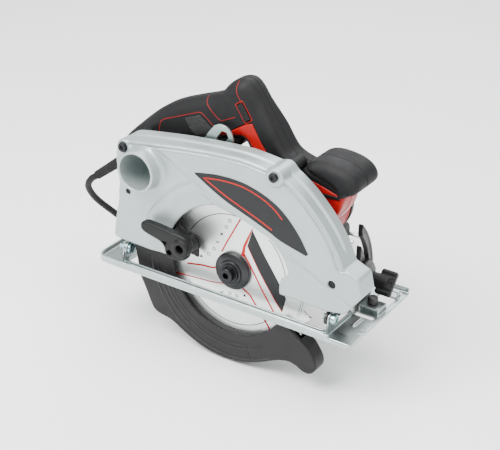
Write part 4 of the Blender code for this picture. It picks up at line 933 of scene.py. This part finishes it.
lathe("flange_outer", [(4.3, -1.2), (20.3, -1.2), (20.3, -4.4), (19.4, -5.2), (15.6, -6.6), (13.2, -7.0), (13.0, -9.0), (12.3, -9.5), (4.3, -9.5)],
      "Y", ARBOR, M_FLANGE, "arbor", ("outer_flange",), steps=96, edge=0.5, closed=True)


def hex_loop(r, c=ARBOR, rot=0.0):
    return [(c[0] + r * math.cos(rot + tau * i / 6), c[1] + r * math.sin(rot + tau * i / 6)) for i in range(6)]


def bolt_field(x, y, z):
    hx = poly(hex_loop(3.6))(x, z)
    f = union(np.maximum(ball2(x, z, ARBOR, 3.7), np.maximum(-11 - y, y - 7)),
              ext(ball2(x, z, ARBOR, 10.5), y, -11.6, -9.7, R=0.5), ext(ball2(x, z, ARBOR, 7.6), y, -17.0, -10.5, R=0.9))
    return carve(f, np.maximum(hx, y + 11.8), 0.3)


surface("arbor_bolt", bolt_field, (-12, -26, 17), (12, 8.5, 42), 0.4, M_SCREW, "arbor", ("spindle_bolt",), relax=2)

# --------------------------------------------------------------------- lower guard
LG = [(-112.8, -10.6), (-104.5, -26), (-98.0, -39.5), (-90.6, -48), (-72, -52), (-58, -59), (-46, -65),
      (-33, -70), (-18, -73), (-1.5, -73.7), (17, -71.7), (29, -68), (43.6, -62), (55, -55.6), (64.5, -51.5), (73.8, -49.5),
      (82, -51), (90.7, -55), (98.9, -55), (105, -48), (104, -38), (95, -25)]
lg_loop = [(-10, 50.7), (-44, 62), (-66, 66)] + arc(ARBOR, 119.5, 152, 183, 8) + soften(LG, 4, False) + [(22.5, 24)] + arc(ARBOR, 23.0, 0, 112, 10)
LG2 = poly(lg_loop)
LEVER = (-46.8, 50.7)


def lower_field(x, y, z):
    d2 = LG2(x, z)
    r = np.hypot(x - ARBOR[0], z - ARBOR[1])
    ang = np.degrees(np.arctan2(z - ARBOR[1], x - ARBOR[0]))
    lowz = (z < 2)
    on = lambda a0, a1: np.clip(np.minimum(ang - a0, a1 - ang) / 2, 0, 1)
    rib = np.exp(-((r - 80.5) / 0.8) ** 2) * on(-168, -72) + np.exp(-((r - 84.5) / 0.8) ** 2) * on(-160, -60) \
        + np.exp(-((r - 96.5) / 0.8) ** 2) * on(-176, -52) + np.exp(-((r - 90) / 0.8) ** 2) * on(-176, -120)
    groove = np.exp(-(((ang + 72) * r / 57.3) / 0.8) ** 2) * ((r > 80) & (r < 97)) + np.exp(-(((ang + 134) * r / 57.3) / 0.8) ** 2) * ((r > 74) & (r < 97))
    step = 0.9 * np.clip((r - 97.5) / 1.0, 0, 1) * on(-176, -58)
    nf = -9.0 - 0.55 * rib + 0.4 * groove + step
    R = 1.6

    def side(dw, rr):
        a, b = d2 + rr, dw + rr
        return np.minimum(np.maximum(a, b), 0) + np.hypot(np.maximum(a, 0), np.maximum(b, 0)) - rr
    f = np.maximum(side(nf - y, R), side(y - 10.0, R))
    f = carve(f, np.maximum(r - 98.4, np.maximum(-6.6 - y, y - 7.6)))
    room = np.maximum(np.maximum(r - 117.2, 96.5 - r), np.maximum(np.where((ang > 150) | (ang < -146), -1.0, 5.0), np.maximum(-6.3 - y, y - 7.1)))
    f = carve(f, room)
    win = union(np.maximum(r - 70, np.where((ang > 172) | (ang < 35), -1.0, 6.0)), poly(arc(ARBOR, 70.0, 172, 395, 36)
                + arc(ARBOR, 125, 35, 150, 10) + [(-56.0, 61.2)] + arc(LEVER, 10.5, 130, -40, 8) + [(-38, 34), (-60, 30)])(x, z))
    f = carve(f, np.maximum(win, y + 5.8), 0.4)
    f = carve(f, np.maximum(ball2(x, z, ARBOR, 19.5), 5 - y))
    return carve(f, np.maximum(ball2(x, z, LEVER, 2.6), y + 6))


surface("swing_guard", lower_field, (-123, -12, -77), (108, 12.5, 88), 0.85, M_GUARD, "lower_guard", ("lower_guard",), relax=1)

LEV = soften([(-38.5, 50), (-38, 57), (-41.5, 63), (-48, 64.8), (-60, 65.8), (-78, 67.6), (-91, 68.0), (-96.2, 65.4), (-96.8, 60.4), (-93, 56.2),
              (-82, 53.2), (-72, 50.6), (-67.5, 46.5), (-66, 40.5), (-62.5, 36), (-50, 35.6), (-40.5, 40)], 4)
LEV2 = poly(LEV)


def lever_field(x, y, z):
    f = ext(LEV2(x, z), y, -30.0, -20.0, R=2.6)
    f = blend(f, ext(ball2(x, z, LEVER, 9.4), y, -32.0, -9.3, R=1.2), 1.5)
    f = blend(f, ext(ball2(x, z, (-58.5, 60.0), 5.2), y, -29.6, -14.0, R=1.0), 1.0)
    # hollow of the barrel, pocket and pin hole
    f = carve(f, np.maximum(ball2(x, z, LEVER, 4.6), y + 23.0), 0.5)
    f = carve(f, ball2(x, z, LEVER, 2.6) + 0 * y)
    f = carve(f, np.maximum(ball2(x, z, (-60.5, 42.0), 3.0), y + 24.0), 0.5)
    tri = poly([(-71, 52.5), (-63.5, 53.6), (-65.5, 47.4)])(x, z)
    return carve(f, np.maximum(tri, y + 26.5), 0.5)


surface("guard_handle", lever_field, (-99, -33.5, 25), (-34, -7, 72), 0.6, M_DARK, "lower_guard", ("guard_lever",), relax=2)

# -------------------------------------------------------------------------- handle
BODY_OUT = [(-157.6, 126.7), (-152.4, 133), (-139.5, 146.5), (-120.5, 163.4), (-101.8, 175.6), (-77.4, 186.4),
            (-55.9, 194.6), (-46, 200.2), (-37.5, 210.2), (-30, 216.2), (-22, 219.4), (-14, 218.4), (-6, 211.6),
            (5.3, 196.4), (17.9, 179.4), (28, 164.8), (36.5, 155.4), (50, 150.0), (70, 146.5), (96, 141), (103, 133),
            (99, 112), (86, 92), (69, 79), (54.6, 70.6)]
body_loop = soften(BODY_OUT, 4, False) + arc(MOTOR, 41.5, 12, 160, 30)[1:] + rounded(
    [(-28, 71), (-40, 66), (-70, 66), (-110, 70), (-148, 76), (-162, 84), (-168.5, 97), (-166, 112), (-157.6, 126.7)], [0, 3, 0, 6, 8, 8, 8, 8, 0], 4)[1:-1]
HAND = soften(rounded([(-30, 153), (-15, 157.5), (-5, 141), (6, 118), (-4, 106.5), (-60, 101), (-100, 101), (-116, 108),
                       (-104, 124), (-80, 138), (-55, 147)], 5, 2), 2)
BO, HH = poly(body_loop), poly(HAND)
CAV = poly([(-150, 127), (-136, 143), (-118, 157), (-99, 169), (-75, 179.5), (-52, 188), (-43, 194), (-34, 205), (-27, 211),
            (-20, 213), (-14, 210), (0, 193), (13, 175), (24, 158), (33, 148), (48, 143), (68, 140), (94, 136), (98, 130),
            (93, 113), (82, 93), (70, 84), (60, 86), (50, 95), (38, 103), (24, 109.5), (13, 118), (1.5, 142), (-11.5, 165),
            (-33, 159.5), (-57, 153.5), (-84, 143.5), (-112, 127.5), (-122, 103), (-112, 94), (-106, 80), (-146, 83), (-157, 90),
            (-161, 99), (-159, 112)])
BUTTON = (-13.5, 189.0)
POST = math.radians(-54)


def button_dist(x, z, grow):
    c, s = math.cos(POST), math.sin(POST)
    u = (x - BUTTON[0]) * c + (z - BUTTON[1]) * s
    w = -(x - BUTTON[0]) * s + (z - BUTTON[1]) * c
    a, b = np.abs(u) - (9.5 + grow - 1.6), np.abs(w) - (3.75 + grow - 1.6)
    return np.minimum(np.maximum(a, b), 0) + np.hypot(np.maximum(a, 0), np.maximum(b, 0)) - 1.6


def handle_solid(x, y, z):
    """Whole handle and gear body, both halves, before it is split."""
    bo, hh = BO(x, z), HH(x, z)
    d2 = np.maximum(bo, -hh)
    # plump where the hand goes, squarer round the motor
    grip = np.clip((z - 118) / 26, 0, 1) * np.clip((30 - x) / 30, 0.35, 1)
    R = 3.0 + 11.0 * grip
    # waist of the grip, thicker towards its two ends
    half = 18.0 - 1.3 * np.exp(-((x + 75) / 30) ** 2) * grip
    dy = np.abs(y - SEAM) - half
    a, b = d2 + R, dy + R
    return np.minimum(np.maximum(a, b), 0) + np.hypot(np.maximum(a, 0), np.maximum(b, 0)) - R


def handle_half(near):
    def f(x, y, z):
        d = handle_solid(x, y, z)
        d = carve(d, np.maximum(np.maximum(CAV(x, z), np.abs(y - SEAM) - 15.0), d + 2.6))
        d = np.maximum(d, (y - (SEAM - 0.22)) if near else ((SEAM + 0.22) - y))
        # trigger slot, way of the sleeve
        d = carve(d, np.maximum(np.maximum(np.abs(x + 38) - 22.5, np.abs(z - 152) - 20), np.abs(y - SEAM) - 8.5), 0.6)
        px, py, pz = x - S0.x, y - S0.y, z - S0.z
        t = px * U_S.x + py * U_S.y + pz * U_S.z
        rr = np.sqrt(np.maximum(px * px + py * py + pz * pz - t * t, 0))
        d = carve(d, np.maximum(rr - 6.9, -0.6 - t))
        d = carve(d, np.maximum(rr - 9.2, np.maximum(-0.6 - t, t - 6.6)))
        if near:
            br = ext(ball2(x, z, (-129.0, 136.0), 6.5), y, 15.3, 36.0)
            bf = ext(ball2(x, z, (49.4, 151.4), 7.6), y, 15.3, 36.0, R=1.0)
            d = union(d, br, bf)
            d = carve(d, np.maximum(ball2(x, z, (-129.0, 136.0), 2.6), y - 40))
            d = carve(d, np.maximum(ball2(x, z, (49.4, 151.4), 2.6), y - 40))
            d = carve(d, np.maximum(button_dist(x, z, 0.45), y - 34), 0.4)
        else:
            for c in ((-140, 125), (8, 176), (76, 128)):
                d = carve(d, np.maximum(ball2(x, z, c, 2.5), 50 - y))
                d = carve(d, np.maximum(ball2(x, z, c, 4.6), 61.8 - y), 0.4)
        return d
    return f


# which faces are the red housing and which the soft overmould
RED_LOW = poly([(34, 141), (60, 139.6), (74, 136.5), (100, 129.5), (120, 120), (120, 40), (-20, 40), (-20, 96), (14, 101), (14, 124), (26, 131)])
RED_REAR = poly([(-180, 60), (-180, 96), (-150, 98), (-120, 96), (-60, 97), (-10, 99), (0, 60)])
POST_RED = poly([(-60, 160.5), (-27, 166.2), (-17.2, 173.0), (-10.0, 177.6), (-3.4, 179.4), (8.0, 161.4), (21.5, 146.0), (30, 138), (24, 128), (8, 134),
                 (-6.4, 160.0), (-14, 163), (-30, 160), (-56, 152)])


def red_zone(x, z):
    return np.minimum(np.minimum(RED_LOW(x, z), RED_REAR(x, z)), POST_RED(x, z))


def coloured(near, red):
    """One half's soft overmould, or its red housing, which meet at a fine step."""
    whole = handle_half(near)

    def f(x, y, z):
        q = red_zone(x, z)
        return np.maximum(whole(x, y, z), q + 0.12) if red else np.maximum(whole(x, y, z), 0.12 - q)
    return f


hh = 0.95
surface("handle_near", coloured(True, False), (-172, 13, 62), (108, 47, 223), hh, M_SOFT, "saw_body", ("handle_shell_left",), relax=1)
surface("handle_far", coloured(False, False), (-172, 43, 62), (108, 66, 223), hh, M_SOFT, "saw_body", ("handle_shell_right",), relax=1)
surface("housing_near", coloured(True, True), (-172, 25, 62), (108, 47, 182), hh, M_RED, "saw_body", (), relax=1)
surface("housing_far", coloured(False, True), (-172, 43, 62), (108, 66, 182), hh, M_RED, "saw_body", (), relax=1)


def inlay(name, pts, width, proud, mat, side=0, region=None, h=0.55):
    """Thin raised bead that follows the handle's surface along pts (X, Z)."""
    xs, zs = [p[0] for p in pts], [p[1] for p in pts]
    L = line(pts) if region is None else region
    y0, y1 = (24, 44.7) if side == 0 else (45.3, 66)

    def f(x, y, z):
        s = handle_solid(x, y, z)
        return np.maximum(np.maximum(s - proud, -0.9 - s), (L(x, z) - width / 2) if region is None else L(x, z)) + 0 * y
    m = width + 2.5
    return surface(name, f, (min(xs) - m, y0, min(zs) - m), (max(xs) + m, y1, max(zs) + m), h, mat, "saw_body", ())


PIN1 = [(-114.7, 139.5), (-114.7, 146.9), (-113.0, 154.0), (-109.0, 157.4), (-99.1, 161.7), (-82, 168.9), (-67.5, 175.2), (-63.5, 175.4), (-56, 170.6), (-49, 165.2)]
PIN2 = [(-61.6, 191.5), (-59.5, 187.4), (-54.6, 183), (-46.6, 176.9), (-41.4, 173.6), (-38.0, 173.8), (-23.4, 181.2)]
PIN3 = [(-24.6, 217.0), (-24.2, 212.0), (-22.6, 206.8), (-18.2, 200.4), (-16.6, 197.0)]
hq = 0.5
for sd, nm in ((0, "near"), (1, "far")):
    inlay("pinstripe_1_" + nm, PIN1, 0.95, 0.2, M_PIN, sd, h=hq)
    inlay("pinstripe_2_" + nm, PIN2, 0.95, 0.2, M_PIN, sd, h=hq)
    inlay("pinstripe_3_" + nm, PIN3, 0.95, 0.2, M_PIN, sd, h=hq)
KN = [(-84.5, 164.8), (-66.0, 172.6), (-50.5, 162.0), (-52, 156), (-57.8, 151.5), (-70.4, 148.6), (-77.5, 155.0)]
for sd, nm in ((0, "near"), (1, "far")):
    inlay("knurl_" + nm, KN, 0, 0.3, M_KNURL, sd, region=poly(rounded(KN, 2, 3)), h=hq + 0.1)
# red frame round the lock-off button
FR = [(BUTTON[0] + 12 * math.cos(t), BUTTON[1] + 12 * math.sin(t)) for t in (0, 1.57, 3.14, 4.71)]
inlay("button_frame", FR, 0, 0.3, M_PIN, 0, region=lambda x, z: np.maximum(button_dist(x, z, 1.7), -button_dist(x, z, 0.6)), h=hq)


def button_field(x, y, z):
    d = ext(button_dist(x, z, 0.0), y, 25.4, 37.0, R=1.0)
    c, s = math.cos(POST), math.sin(POST)
    u = (x - BUTTON[0]) * c + (z - BUTTON[1]) * s
    return d + 0.28 * np.cos(u * 2.6) * (y < 28) * 0.9


surface("lock_off_key", button_field, (-26, 24, 177), (-1, 38.5, 201), 0.5, M_SOFT, "lock_off_button", ("lock_off_button",), relax=0)

TR = soften([(-58, 160.5), (-57, 149.5), (-48, 143.2), (-33, 142.8), (-21.6, 148.2), (-18.6, 156.5), (-19.2, 163.8), (-25, 166.6), (-40, 164.8)], 4)
TR2 = poly(TR)
surface("trigger_key", lambda x, y, z: ext(TR2(x, z), y, 37.0, 53.0, R=3.2), (-61, 35, 140), (-16, 55, 170), 0.6, M_DARK, "trigger", ("trigger",), relax=1)

# ---------------------------------------------------------------------- front grip
GRIP = [(60, 151.5), (64, 157.6), (72, 161.0), (82, 162), (94, 161), (104, 158.6), (112.2, 154.2), (117.2, 148),
        (118.4, 141), (114.2, 135.4), (107, 131.2), (103, 128.4), (97, 128.6), (90, 138), (66, 145)]
GR2 = poly(soften(GRIP, 4))


def grip_field(near):
    def f(x, y, z):
        d2 = GR2(x, z)
        # the ends are drawn in and rounded, as a bar of soft plastic
        yy = np.abs(y - 47.5)
        t = np.clip((yy - 14) / 14, 0, 1)
        d = ext(d2 + 2.2 * t * t, y, 20.0, 75.0, R=8.5)
        d = np.maximum(d, (y - (SEAM - 0.22)) if near else ((SEAM + 0.22) - y))
        inner = np.maximum(BO(x, z) - 0.35, np.abs(y - SEAM) - 18.3)
        return carve(d, inner, 0.3)
    return f


g_near = surface("front_grip_near", grip_field(True), (56, 18, 122), (122, 46.5, 166), 0.75, M_SOFT, "saw_body", ("front_grip",), relax=1)
g_far = surface("front_grip_far", grip_field(False), (56, 43.5, 122), (122, 77, 166), 0.75, M_SOFT, "saw_body", (), relax=1)

# dark strap slot on the red housing, near side
strap_pts = [(68.0, 125.6), (76, 126.6), (98, 127.6)]
inlay("housing_strap", strap_pts, 3.4, 1.4, M_DARK, 0, h=0.6)

# --------------------------------------------------------------------------- motor


def motor_field(x, y, z):
    r = np.hypot(x - MOTOR[0], z - MOTOR[1])
    a = np.arctan2(z - MOTOR[1], x - MOTOR[0])
    ribs = 0.0 * y
    for y0 in (64.6, 104.0, 146.2):
        ribs = ribs + 0.75 * np.exp(-((y - y0) / 1.3) ** 2)
    outer = r - (40.4 + ribs)

    def ends(d, lo, hi, R):
        p, q = d + R, np.maximum(lo - y, y - hi) + R
        return np.minimum(np.maximum(p, q), 0) + np.hypot(np.maximum(p, 0), np.maximum(q, 0)) - R
    f = ends(outer, 40.6, 150.0, 1.0)
    f = carve(f, np.maximum(r - 37.8, y - 143.0))
    f = carve(f, np.maximum(r - 37.8, 149.0 - y))
    # cooling slots, two bands of twenty round the case
    k = tau / 20
    sa = (np.mod(a + k / 2, k) - k / 2) * 39.0
    slot1 = np.maximum(np.hypot(sa, np.maximum(np.abs(y - 113.5) - 5.5, 0)) - 1.7, 33 - r)
    skip = np.abs(np.abs(a) - math.pi / 2) < 0.2
    slot1 = slot1 + 0 * y
    f = carve(f, slot1, 0.3)
    slot2 = np.maximum(np.hypot(sa, np.maximum(np.abs(y - 73.5) - 3.5, 0)) - 1.7, 33 - r)
    f = carve(f, slot2, 0.3)
    for s in (1, -1):
        f = carve(f, np.maximum(np.maximum(np.abs(x - MOTOR[0]), np.abs(y - 127)) - 5.6, 29 - s * (z - MOTOR[1])), 0.3)
    f = carve(f, np.maximum(ball2(x, z, MOTOR, 9.8), np.maximum(145.3 - y, y - 151)))
    f = carve(f, np.maximum(ball2(x, z, MOTOR, 6.2), 141 - y))
    for i in range(4):
        c = arc(MOTOR, 23.0, 45 + 90 * i, 45 + 90 * i, 1)[0]
        f = carve(f, np.maximum(ball2(x, z, c, 9.0), 141 - y))
    return f


surface("motor_case", motor_field, (-33, 39, 13), (55, 151.5, 101), 0.9, M_RED, "saw_body", ("motor_housing",), relax=1)


def cap_field(x, y, z):
    r = np.hypot(x - MOTOR[0], z - MOTOR[1])
    dome = np.hypot(np.maximum(r - 30, 0) / 11.2, np.maximum(y - 152.5, 0) / 12.5) - 1.0
    f = np.maximum(np.maximum(dome * 11, r - 41.2), np.maximum(y - 165.0, 150.3 - y))
    ring = 0.5 * np.exp(-((r - 33) / 0.8) ** 2)
    f = np.maximum(f, y - (165.0 - ring))
    f = carve(f, np.maximum(np.maximum(r - 38.0, y - 154), np.maximum(150.0 - y, -5)))
    f = carve(f, np.maximum(np.hypot(np.maximum(r - 27, 0), np.maximum(y - 154, 0)) - 8.2, 140 - y))
    for i in range(6):
        zc = MOTOR[1] - 22.5 + 9 * i
        half = math.sqrt(max(0.0, 29.5 ** 2 - (zc - MOTOR[1]) ** 2))
        w = np.hypot(np.maximum(np.abs(np.abs(x - MOTOR[0]) - (3 + half) / 2) - (half - 3) / 2 + 1.9, 0), z - zc) - 1.9
        f = carve(f, np.maximum(w, 158 - y), 0.3)
    for c in (arc(MOTOR, 35.2, 45, 45, 1)[0], arc(MOTOR, 35.2, 225, 225, 1)[0]):
        f = carve(f, ball2(x, z, c, 2.5) + 0 * y)
    return f


surface("motor_cover", cap_field, (-32, 149, 14), (54, 166.5, 100), 0.7, M_DARK, "saw_body", ("motor_end_cap",), relax=1)

# ----------------------------------------------------------------------- sole plate
X0, X1, Y0, Y1 = -159.0, 148.0, -23.3, 110.0
OX0, OX1, OY0, OY1 = -128.0, 117.0, -12.0, 38.0
T = 2.2
OUT = poly(rounded([(X0, Y0), (X1 - 6, Y0), (X1, Y0 + 4), (X1, 4), (X1 - 6, 5), (X1, 6.4), (X1, 11.6),
                    (X1 - 6, 13), (X1, 14), (X1, Y1), (X0, Y1)], [14, 1, 1, 0, 0, 0, 0, 0, 0, 7, 12]))
OPEN = poly(rounded([(OX0, OY0), (OX1, OY0), (OX1, OY1), (OX0, OY1)], 9))
WINS = [poly(rounded([(121.5, 36.5), (141.5, 36.5), (141.5, 42), (121.5, 42)], 1.5)),
        poly(rounded([(123.5, 68), (141.5, 68), (141.5, 89), (123.5, 89)], 2.5)),
        poly(rounded([(123.5, 98), (141.5, 98), (141.5, 106), (123.5, 106)], 2.5))]


def sole_field(x, y, z):
    o = OUT(x, y)
    op = OPEN(x, y)
    plate = np.maximum(np.maximum(o, -op), np.abs(z - T / 2) - T / 2)
    # rolled rails along both sides and the rear
    rail = np.maximum(np.maximum(o, -T - o), np.maximum(-z, z - 7.3))
    rail = np.maximum(rail, x - 124)
    low = np.maximum(np.maximum(y - (Y0 + T), Y0 - y), np.maximum(np.maximum(122 - x, x - 147.4), np.maximum(-z, z - 4.6)))
    far = np.maximum(np.maximum(y - Y1, (Y1 - T) - y), np.maximum(np.maximum(122 - x, x - 147), np.maximum(-z, z - 7.3)))
    lip = np.maximum(np.maximum(-op, op - T), np.maximum(-z, z - 5.2))
    k = 1.6
    f = blend(plate, rail, k)
    f = blend(f, far, k)
    f = blend(f, low, k)
    f = blend(f, lip, k)
    for x0, x1 in ((OX1 + 0.1, OX1 + T), (OX0 - T, OX0 - 0.1)):
        q = union(ball2(y, z, BEVEL, 6.6), np.maximum(np.maximum(-15.6 - y, y + 2.4), np.maximum(2 - z, z - 18)))
        q = np.maximum(np.maximum(q, 3.5 - np.hypot(y - BEVEL[0], z - BEVEL[1])), np.maximum(x0 - x, x - x1))
        f = blend(f, q, 0.8)
    for y0, y1 in ((46, 64), (90.5, 96.5)):
        q = np.maximum(np.maximum(np.maximum(119.9 - x, x - 143.1), np.maximum(y0 - y, y - y1)), np.maximum(1 - z, z - 9.2))
        q = carve(q, np.maximum(np.maximum(122.1 - x, x - 140.9), np.maximum(T - z, z - 7.0)), 0.4)
        f = blend(f, q, 1.0)
    for w in WINS:
        f = carve(f, w(x, y) + 0 * z, 0.8)
    f = carve(f, np.maximum(np.hypot(x - 131.5, y - 55) - 3.2, 6 - z))
    # pressed bead along the open front of the plate
    bead = np.hypot((y - 26) / 14.0, (x - 131.5) / 3.2) - 1.0
    f = np.minimum(f, np.maximum(np.hypot(np.maximum(np.abs(y - 24) - 8, 0), np.hypot(x - 131.0, z - 1.4)) - 2.3, -z))
    return f + 0.12


surface("sole_sheet", sole_field, (-161, -25, -1.5), (150, 112, 26), 0.8, M_ZINC, "shoe", ("sole_plate",), relax=1)

# ------------------------------------------------------------------ bevel fittings
CL_ANG = math.radians(4.0)
CLAMP = (BEVEL[0] + 86 * math.cos(CL_ANG), BEVEL[1] + 86 * math.sin(CL_ANG))
QL = poly(arc(BEVEL, 99, -5.5, 55.5, 40) + arc(BEVEL, 69.4, 55.5, -2.5, 36) + [(60.2, 2.5), (89.4, 2.5)])
QS = poly(arc(BEVEL, 89.4, 0.5, 52, 36) + arc(BEVEL, 82.6, 52, 0.5, 36))


def quad_field(x, y, z):
    q = ext(QL(y, z), x, 107.0, 112.6, R=1.1)
    q = carve(q, QS(y, z) + 0 * x, 0.5)
    # raised inner ledge and degree notches on the front face
    r = np.hypot(y - BEVEL[0], z - BEVEL[1])
    a = np.degrees(np.arctan2(z - BEVEL[1], y - BEVEL[0]))
    q = np.maximum(q, x - 112.6 + 0.7 * np.clip((r - 92) / 0.7, 0, 1) * np.clip((96.5 - r) / 0.7, 0, 1))
    nt = np.maximum(np.abs(np.mod(a + 2.5, 5) - 2.5) * 1.65 - 0.35, np.abs(r - 95) - 2.5)
    q = carve(q, np.maximum(nt, 112.0 - x))
    foot = np.maximum(np.maximum(102 - x, x - 112.6), np.maximum(np.maximum(59 - y, y - 90.5), np.maximum(2.6 - z, z - 6.0)))
    return blend(q, foot, 1.2)


surface("quadrant_casting", quad_field, (101, 57, 1), (114, 92.5, 102), 0.6, M_BLACK, "shoe", ("bevel_quadrant",), relax=1)
skin("front_bracket", M_BLACK, 0.6, 3)
skin("guide_clamp_screw", M_BLACK, 0.4, 2)


def knob_field(x, y, z):
    r = np.hypot(y - CLAMP[0], z - CLAMP[1])
    hub = np.maximum(r - np.interp(x, [118.8, 120, 136, 137.5], [8.4, 7.6, 7.2, 6.4]), np.maximum(118.8 - x, x - 137.5))
    c, s = math.cos(math.radians(51)), math.sin(math.radians(51))
    u = (y - CLAMP[0]) * c + (z - CLAMP[1]) * s
    w = -(y - CLAMP[0]) * s + (z - CLAMP[1]) * c
    wid = 3.6 + 0.35 * np.cos(u * 1.2) * (np.abs(u) > 5)
    a, b, d = np.abs(u) - 13.5 + 2.2, np.abs(w) - wid + 2.2, np.abs(x - 134.75) - 8.75 + 2.2
    m = np.maximum(np.maximum(a, b), d)
    wing = np.minimum(m, 0) + np.sqrt(np.maximum(a, 0) ** 2 + np.maximum(b, 0) ** 2 + np.maximum(d, 0) ** 2) - 2.2
    f = blend(hub, wing, 2.2)
    return carve(f, np.maximum(r - 3.35, x - 141.6))


surface("tilt_wing_knob", knob_field, (117, 62, 9), (145, 92, 39), 0.55, M_DARK, "bevel_knob", ("bevel_knob",), relax=1)

# ------------------------------------------------------ carried-over and small pieces
lathe("tilt_bolt_front", [(0, 125.0), (2.0, 125.0), (2.0, 122.2), (2.0, 122.2), (0, 122.2)][:0] or
      [(0, 122.4), (2.3, 122.4), (2.3, 125.0), (3.6, 125.0), (5.6, 124.0), (5.6, 119.6), (3.1, 119.6), (3.1, 110.2), (0, 110.2)],
      "X", BEVEL, M_BLUE, "tilt_frame", ("front_pivot_bolt",), steps=64)
skin("rear_pivot_bolt", M_BLUE, 0.3, 2, 30)
skin("depth_arc_bracket", M_ARC, 0.5, 3)
for nd, m, w in (("depth_pivot_pin", M_SCREW, 0.3), ("bevel_clamp_bolt", M_ZINC, 0.3), ("depth_clamp_bolt", M_ZINC, 0.3),
                 ("depth_lever", M_DARK, 0.9), ("spindle_lock_button", M_RED, 0.4), ("inner_flange", M_STEEL, 0.3),
                 ("brush_cap_upper", M_DARK, 0.3), ("brush_cap_lower", M_DARK, 0.3), ("gear_housing", M_DARK, 0.5),
                 ("bearing_plate", M_CORE, 0.4)):
    skin(nd, m, w, 2)


def socket_screw(name, node, c, head, tip, rh, rs, hh_, mat, body, hexr=1.9):
    """Cap screw with a hexagon recess; head is the outer face."""
    s = 1 if head > tip else -1

    def f(x, y, z):
        hd = ext(ball2(x, z, c, rh), y, min(head, head - s * hh_), max(head, head - s * hh_), R=0.6)
        sh = np.maximum(ball2(x, z, c, rs), np.maximum(min(head, tip) - y, y - max(head, tip)))
        d = union(hd, sh)
        return carve(d, np.maximum(poly(hex_loop(hexr, c, 0.3))(x, z), s * (head - 1.7 - y) if s > 0 else (y - head - 1.7)), 0.2)
    lo = (c[0] - rh - 1, min(head, tip) - 1, c[1] - rh - 1)
    hi = (c[0] + rh + 1, max(head, tip) + 1, c[1] + rh + 1)
    return surface(name, f, lo, hi, 0.4, mat, body, (node,), relax=1)


socket_screw("rim_screw_rear", "guard_screw_rear", (-129.0, 136.0), -18.4, 33.0, 4.9, 2.3, 3.0, M_SCREW, "saw_body", 2.3)
socket_screw("rim_screw_front", "guard_screw_front", (49.4, 152.6), -19.0, 33.0, 4.9, 2.3, 3.0, M_SCREW, "saw_body", 2.3)
socket_screw("handle_guard_screw", "lever_screw", (-46.8, 50.7), -26.0, -7.2, 4.1, 2.2, 2.4, M_SCREW, "lower_guard", 1.8)
for i, c in enumerate([(-140, 125), (8, 176), (76, 128)]):
    socket_screw("shell_screw_%d" % (i + 1), "handle_screw_%d" % (i + 1), c, 65.2, 50.0, 3.8, 2.2, 1.9, M_SCREW, "saw_body", 1.8)
for i, c in enumerate((arc(MOTOR, 35.2, 45, 45, 1)[0], arc(MOTOR, 35.2, 225, 225, 1)[0])):
    socket_screw("cover_screw_%d" % (i + 1), "cap_screw_%d" % (i + 1), c, 167.6, 151.0, 3.6, 2.2, 2.2, M_SCREW, "saw_body", 1.7)

INNER = {"spindle": M_STEEL, "drive_gear": M_CORE, "armature_shaft": M_STEEL, "armature_core": M_COPPER, "commutator": M_COPPER,
         "cooling_fan": M_DARK, "spindle_bearing_front": M_STEEL, "spindle_bearing_rear": M_STEEL, "armature_bearing_front": M_STEEL,
         "armature_bearing_rear": M_STEEL, "field_stator": M_CORE, "brush_holder_upper": M_COPPER, "brush_holder_lower": M_COPPER,
         "switch_body": M_DARK, "guard_spring": M_STEEL}
for nd, m in INNER.items():
    ob = NODES[nd]
    ob.data.materials.clear()
    ob.data.materials.append(m)


# ------------------------------------------------------------------ floor and light
def floor():
    me = bpy.data.meshes.new("floor")
    bm = bmesh.new()
    bmesh.ops.create_grid(bm, x_segments=8, y_segments=8, size=6.0)
    for v in bm.verts:
        v.co.z = FLOOR * 0.001 - 0.0004
    bm.to_mesh(me)
    bm.free()
    ob = bpy.data.objects.new("floor", me)
    n = Nodes("floor_pale")
    c = n.mix(n.ramp(n.noise(2.0, 2), 0.3, 0.7, 0, 1), (0.90, 0.90, 0.895), (0.93, 0.93, 0.928))
    finish_mat(n, c, n.ramp(n.noise(6, 2), 0.3, 0.7, 0.75, 0.85), n.bump(n.noise(400, 2), 0.02, 0.0005))
    me.materials.append(n.m)
    bpy.context.scene.collection.objects.link(ob)


floor()
TARGET = B(0, 20, 50)


def area(name, az, el, dist, size, power, colour=(1, 1, 1)):
    L = bpy.data.lights.new(name, "AREA")
    L.shape = "RECTANGLE"
    L.size, L.size_y = size
    L.energy = power
    L.color = colour
    ob = bpy.data.objects.new(name, L)
    a, e = math.radians(az), math.radians(el)
    d = Vector((math.sin(a) * math.cos(e), -math.cos(a) * math.cos(e), math.sin(e)))
    ob.location = TARGET + d * dist
    ob.rotation_mode = "QUATERNION"
    ob.rotation_quaternion = d.to_track_quat("Z", "Y")
    bpy.context.scene.collection.objects.link(ob)


area("key", -25, 48, 1.7, (1.0, 0.8), 52)
area("fill", 75, 30, 1.9, (1.2, 1.4), 20)
area("top", 20, 86, 1.8, (1.8, 1.8), 54)
area("back", 190, 40, 1.9, (1.4, 1.0), 20)
w = bpy.data.worlds.new("studio")
w.use_nodes = True
w.node_tree.nodes["Background"].inputs["Color"].default_value = (0.95, 0.97, 1.0, 1)
w.node_tree.nodes["Background"].inputs["Strength"].default_value = 0.8
bpy.context.scene.world = w
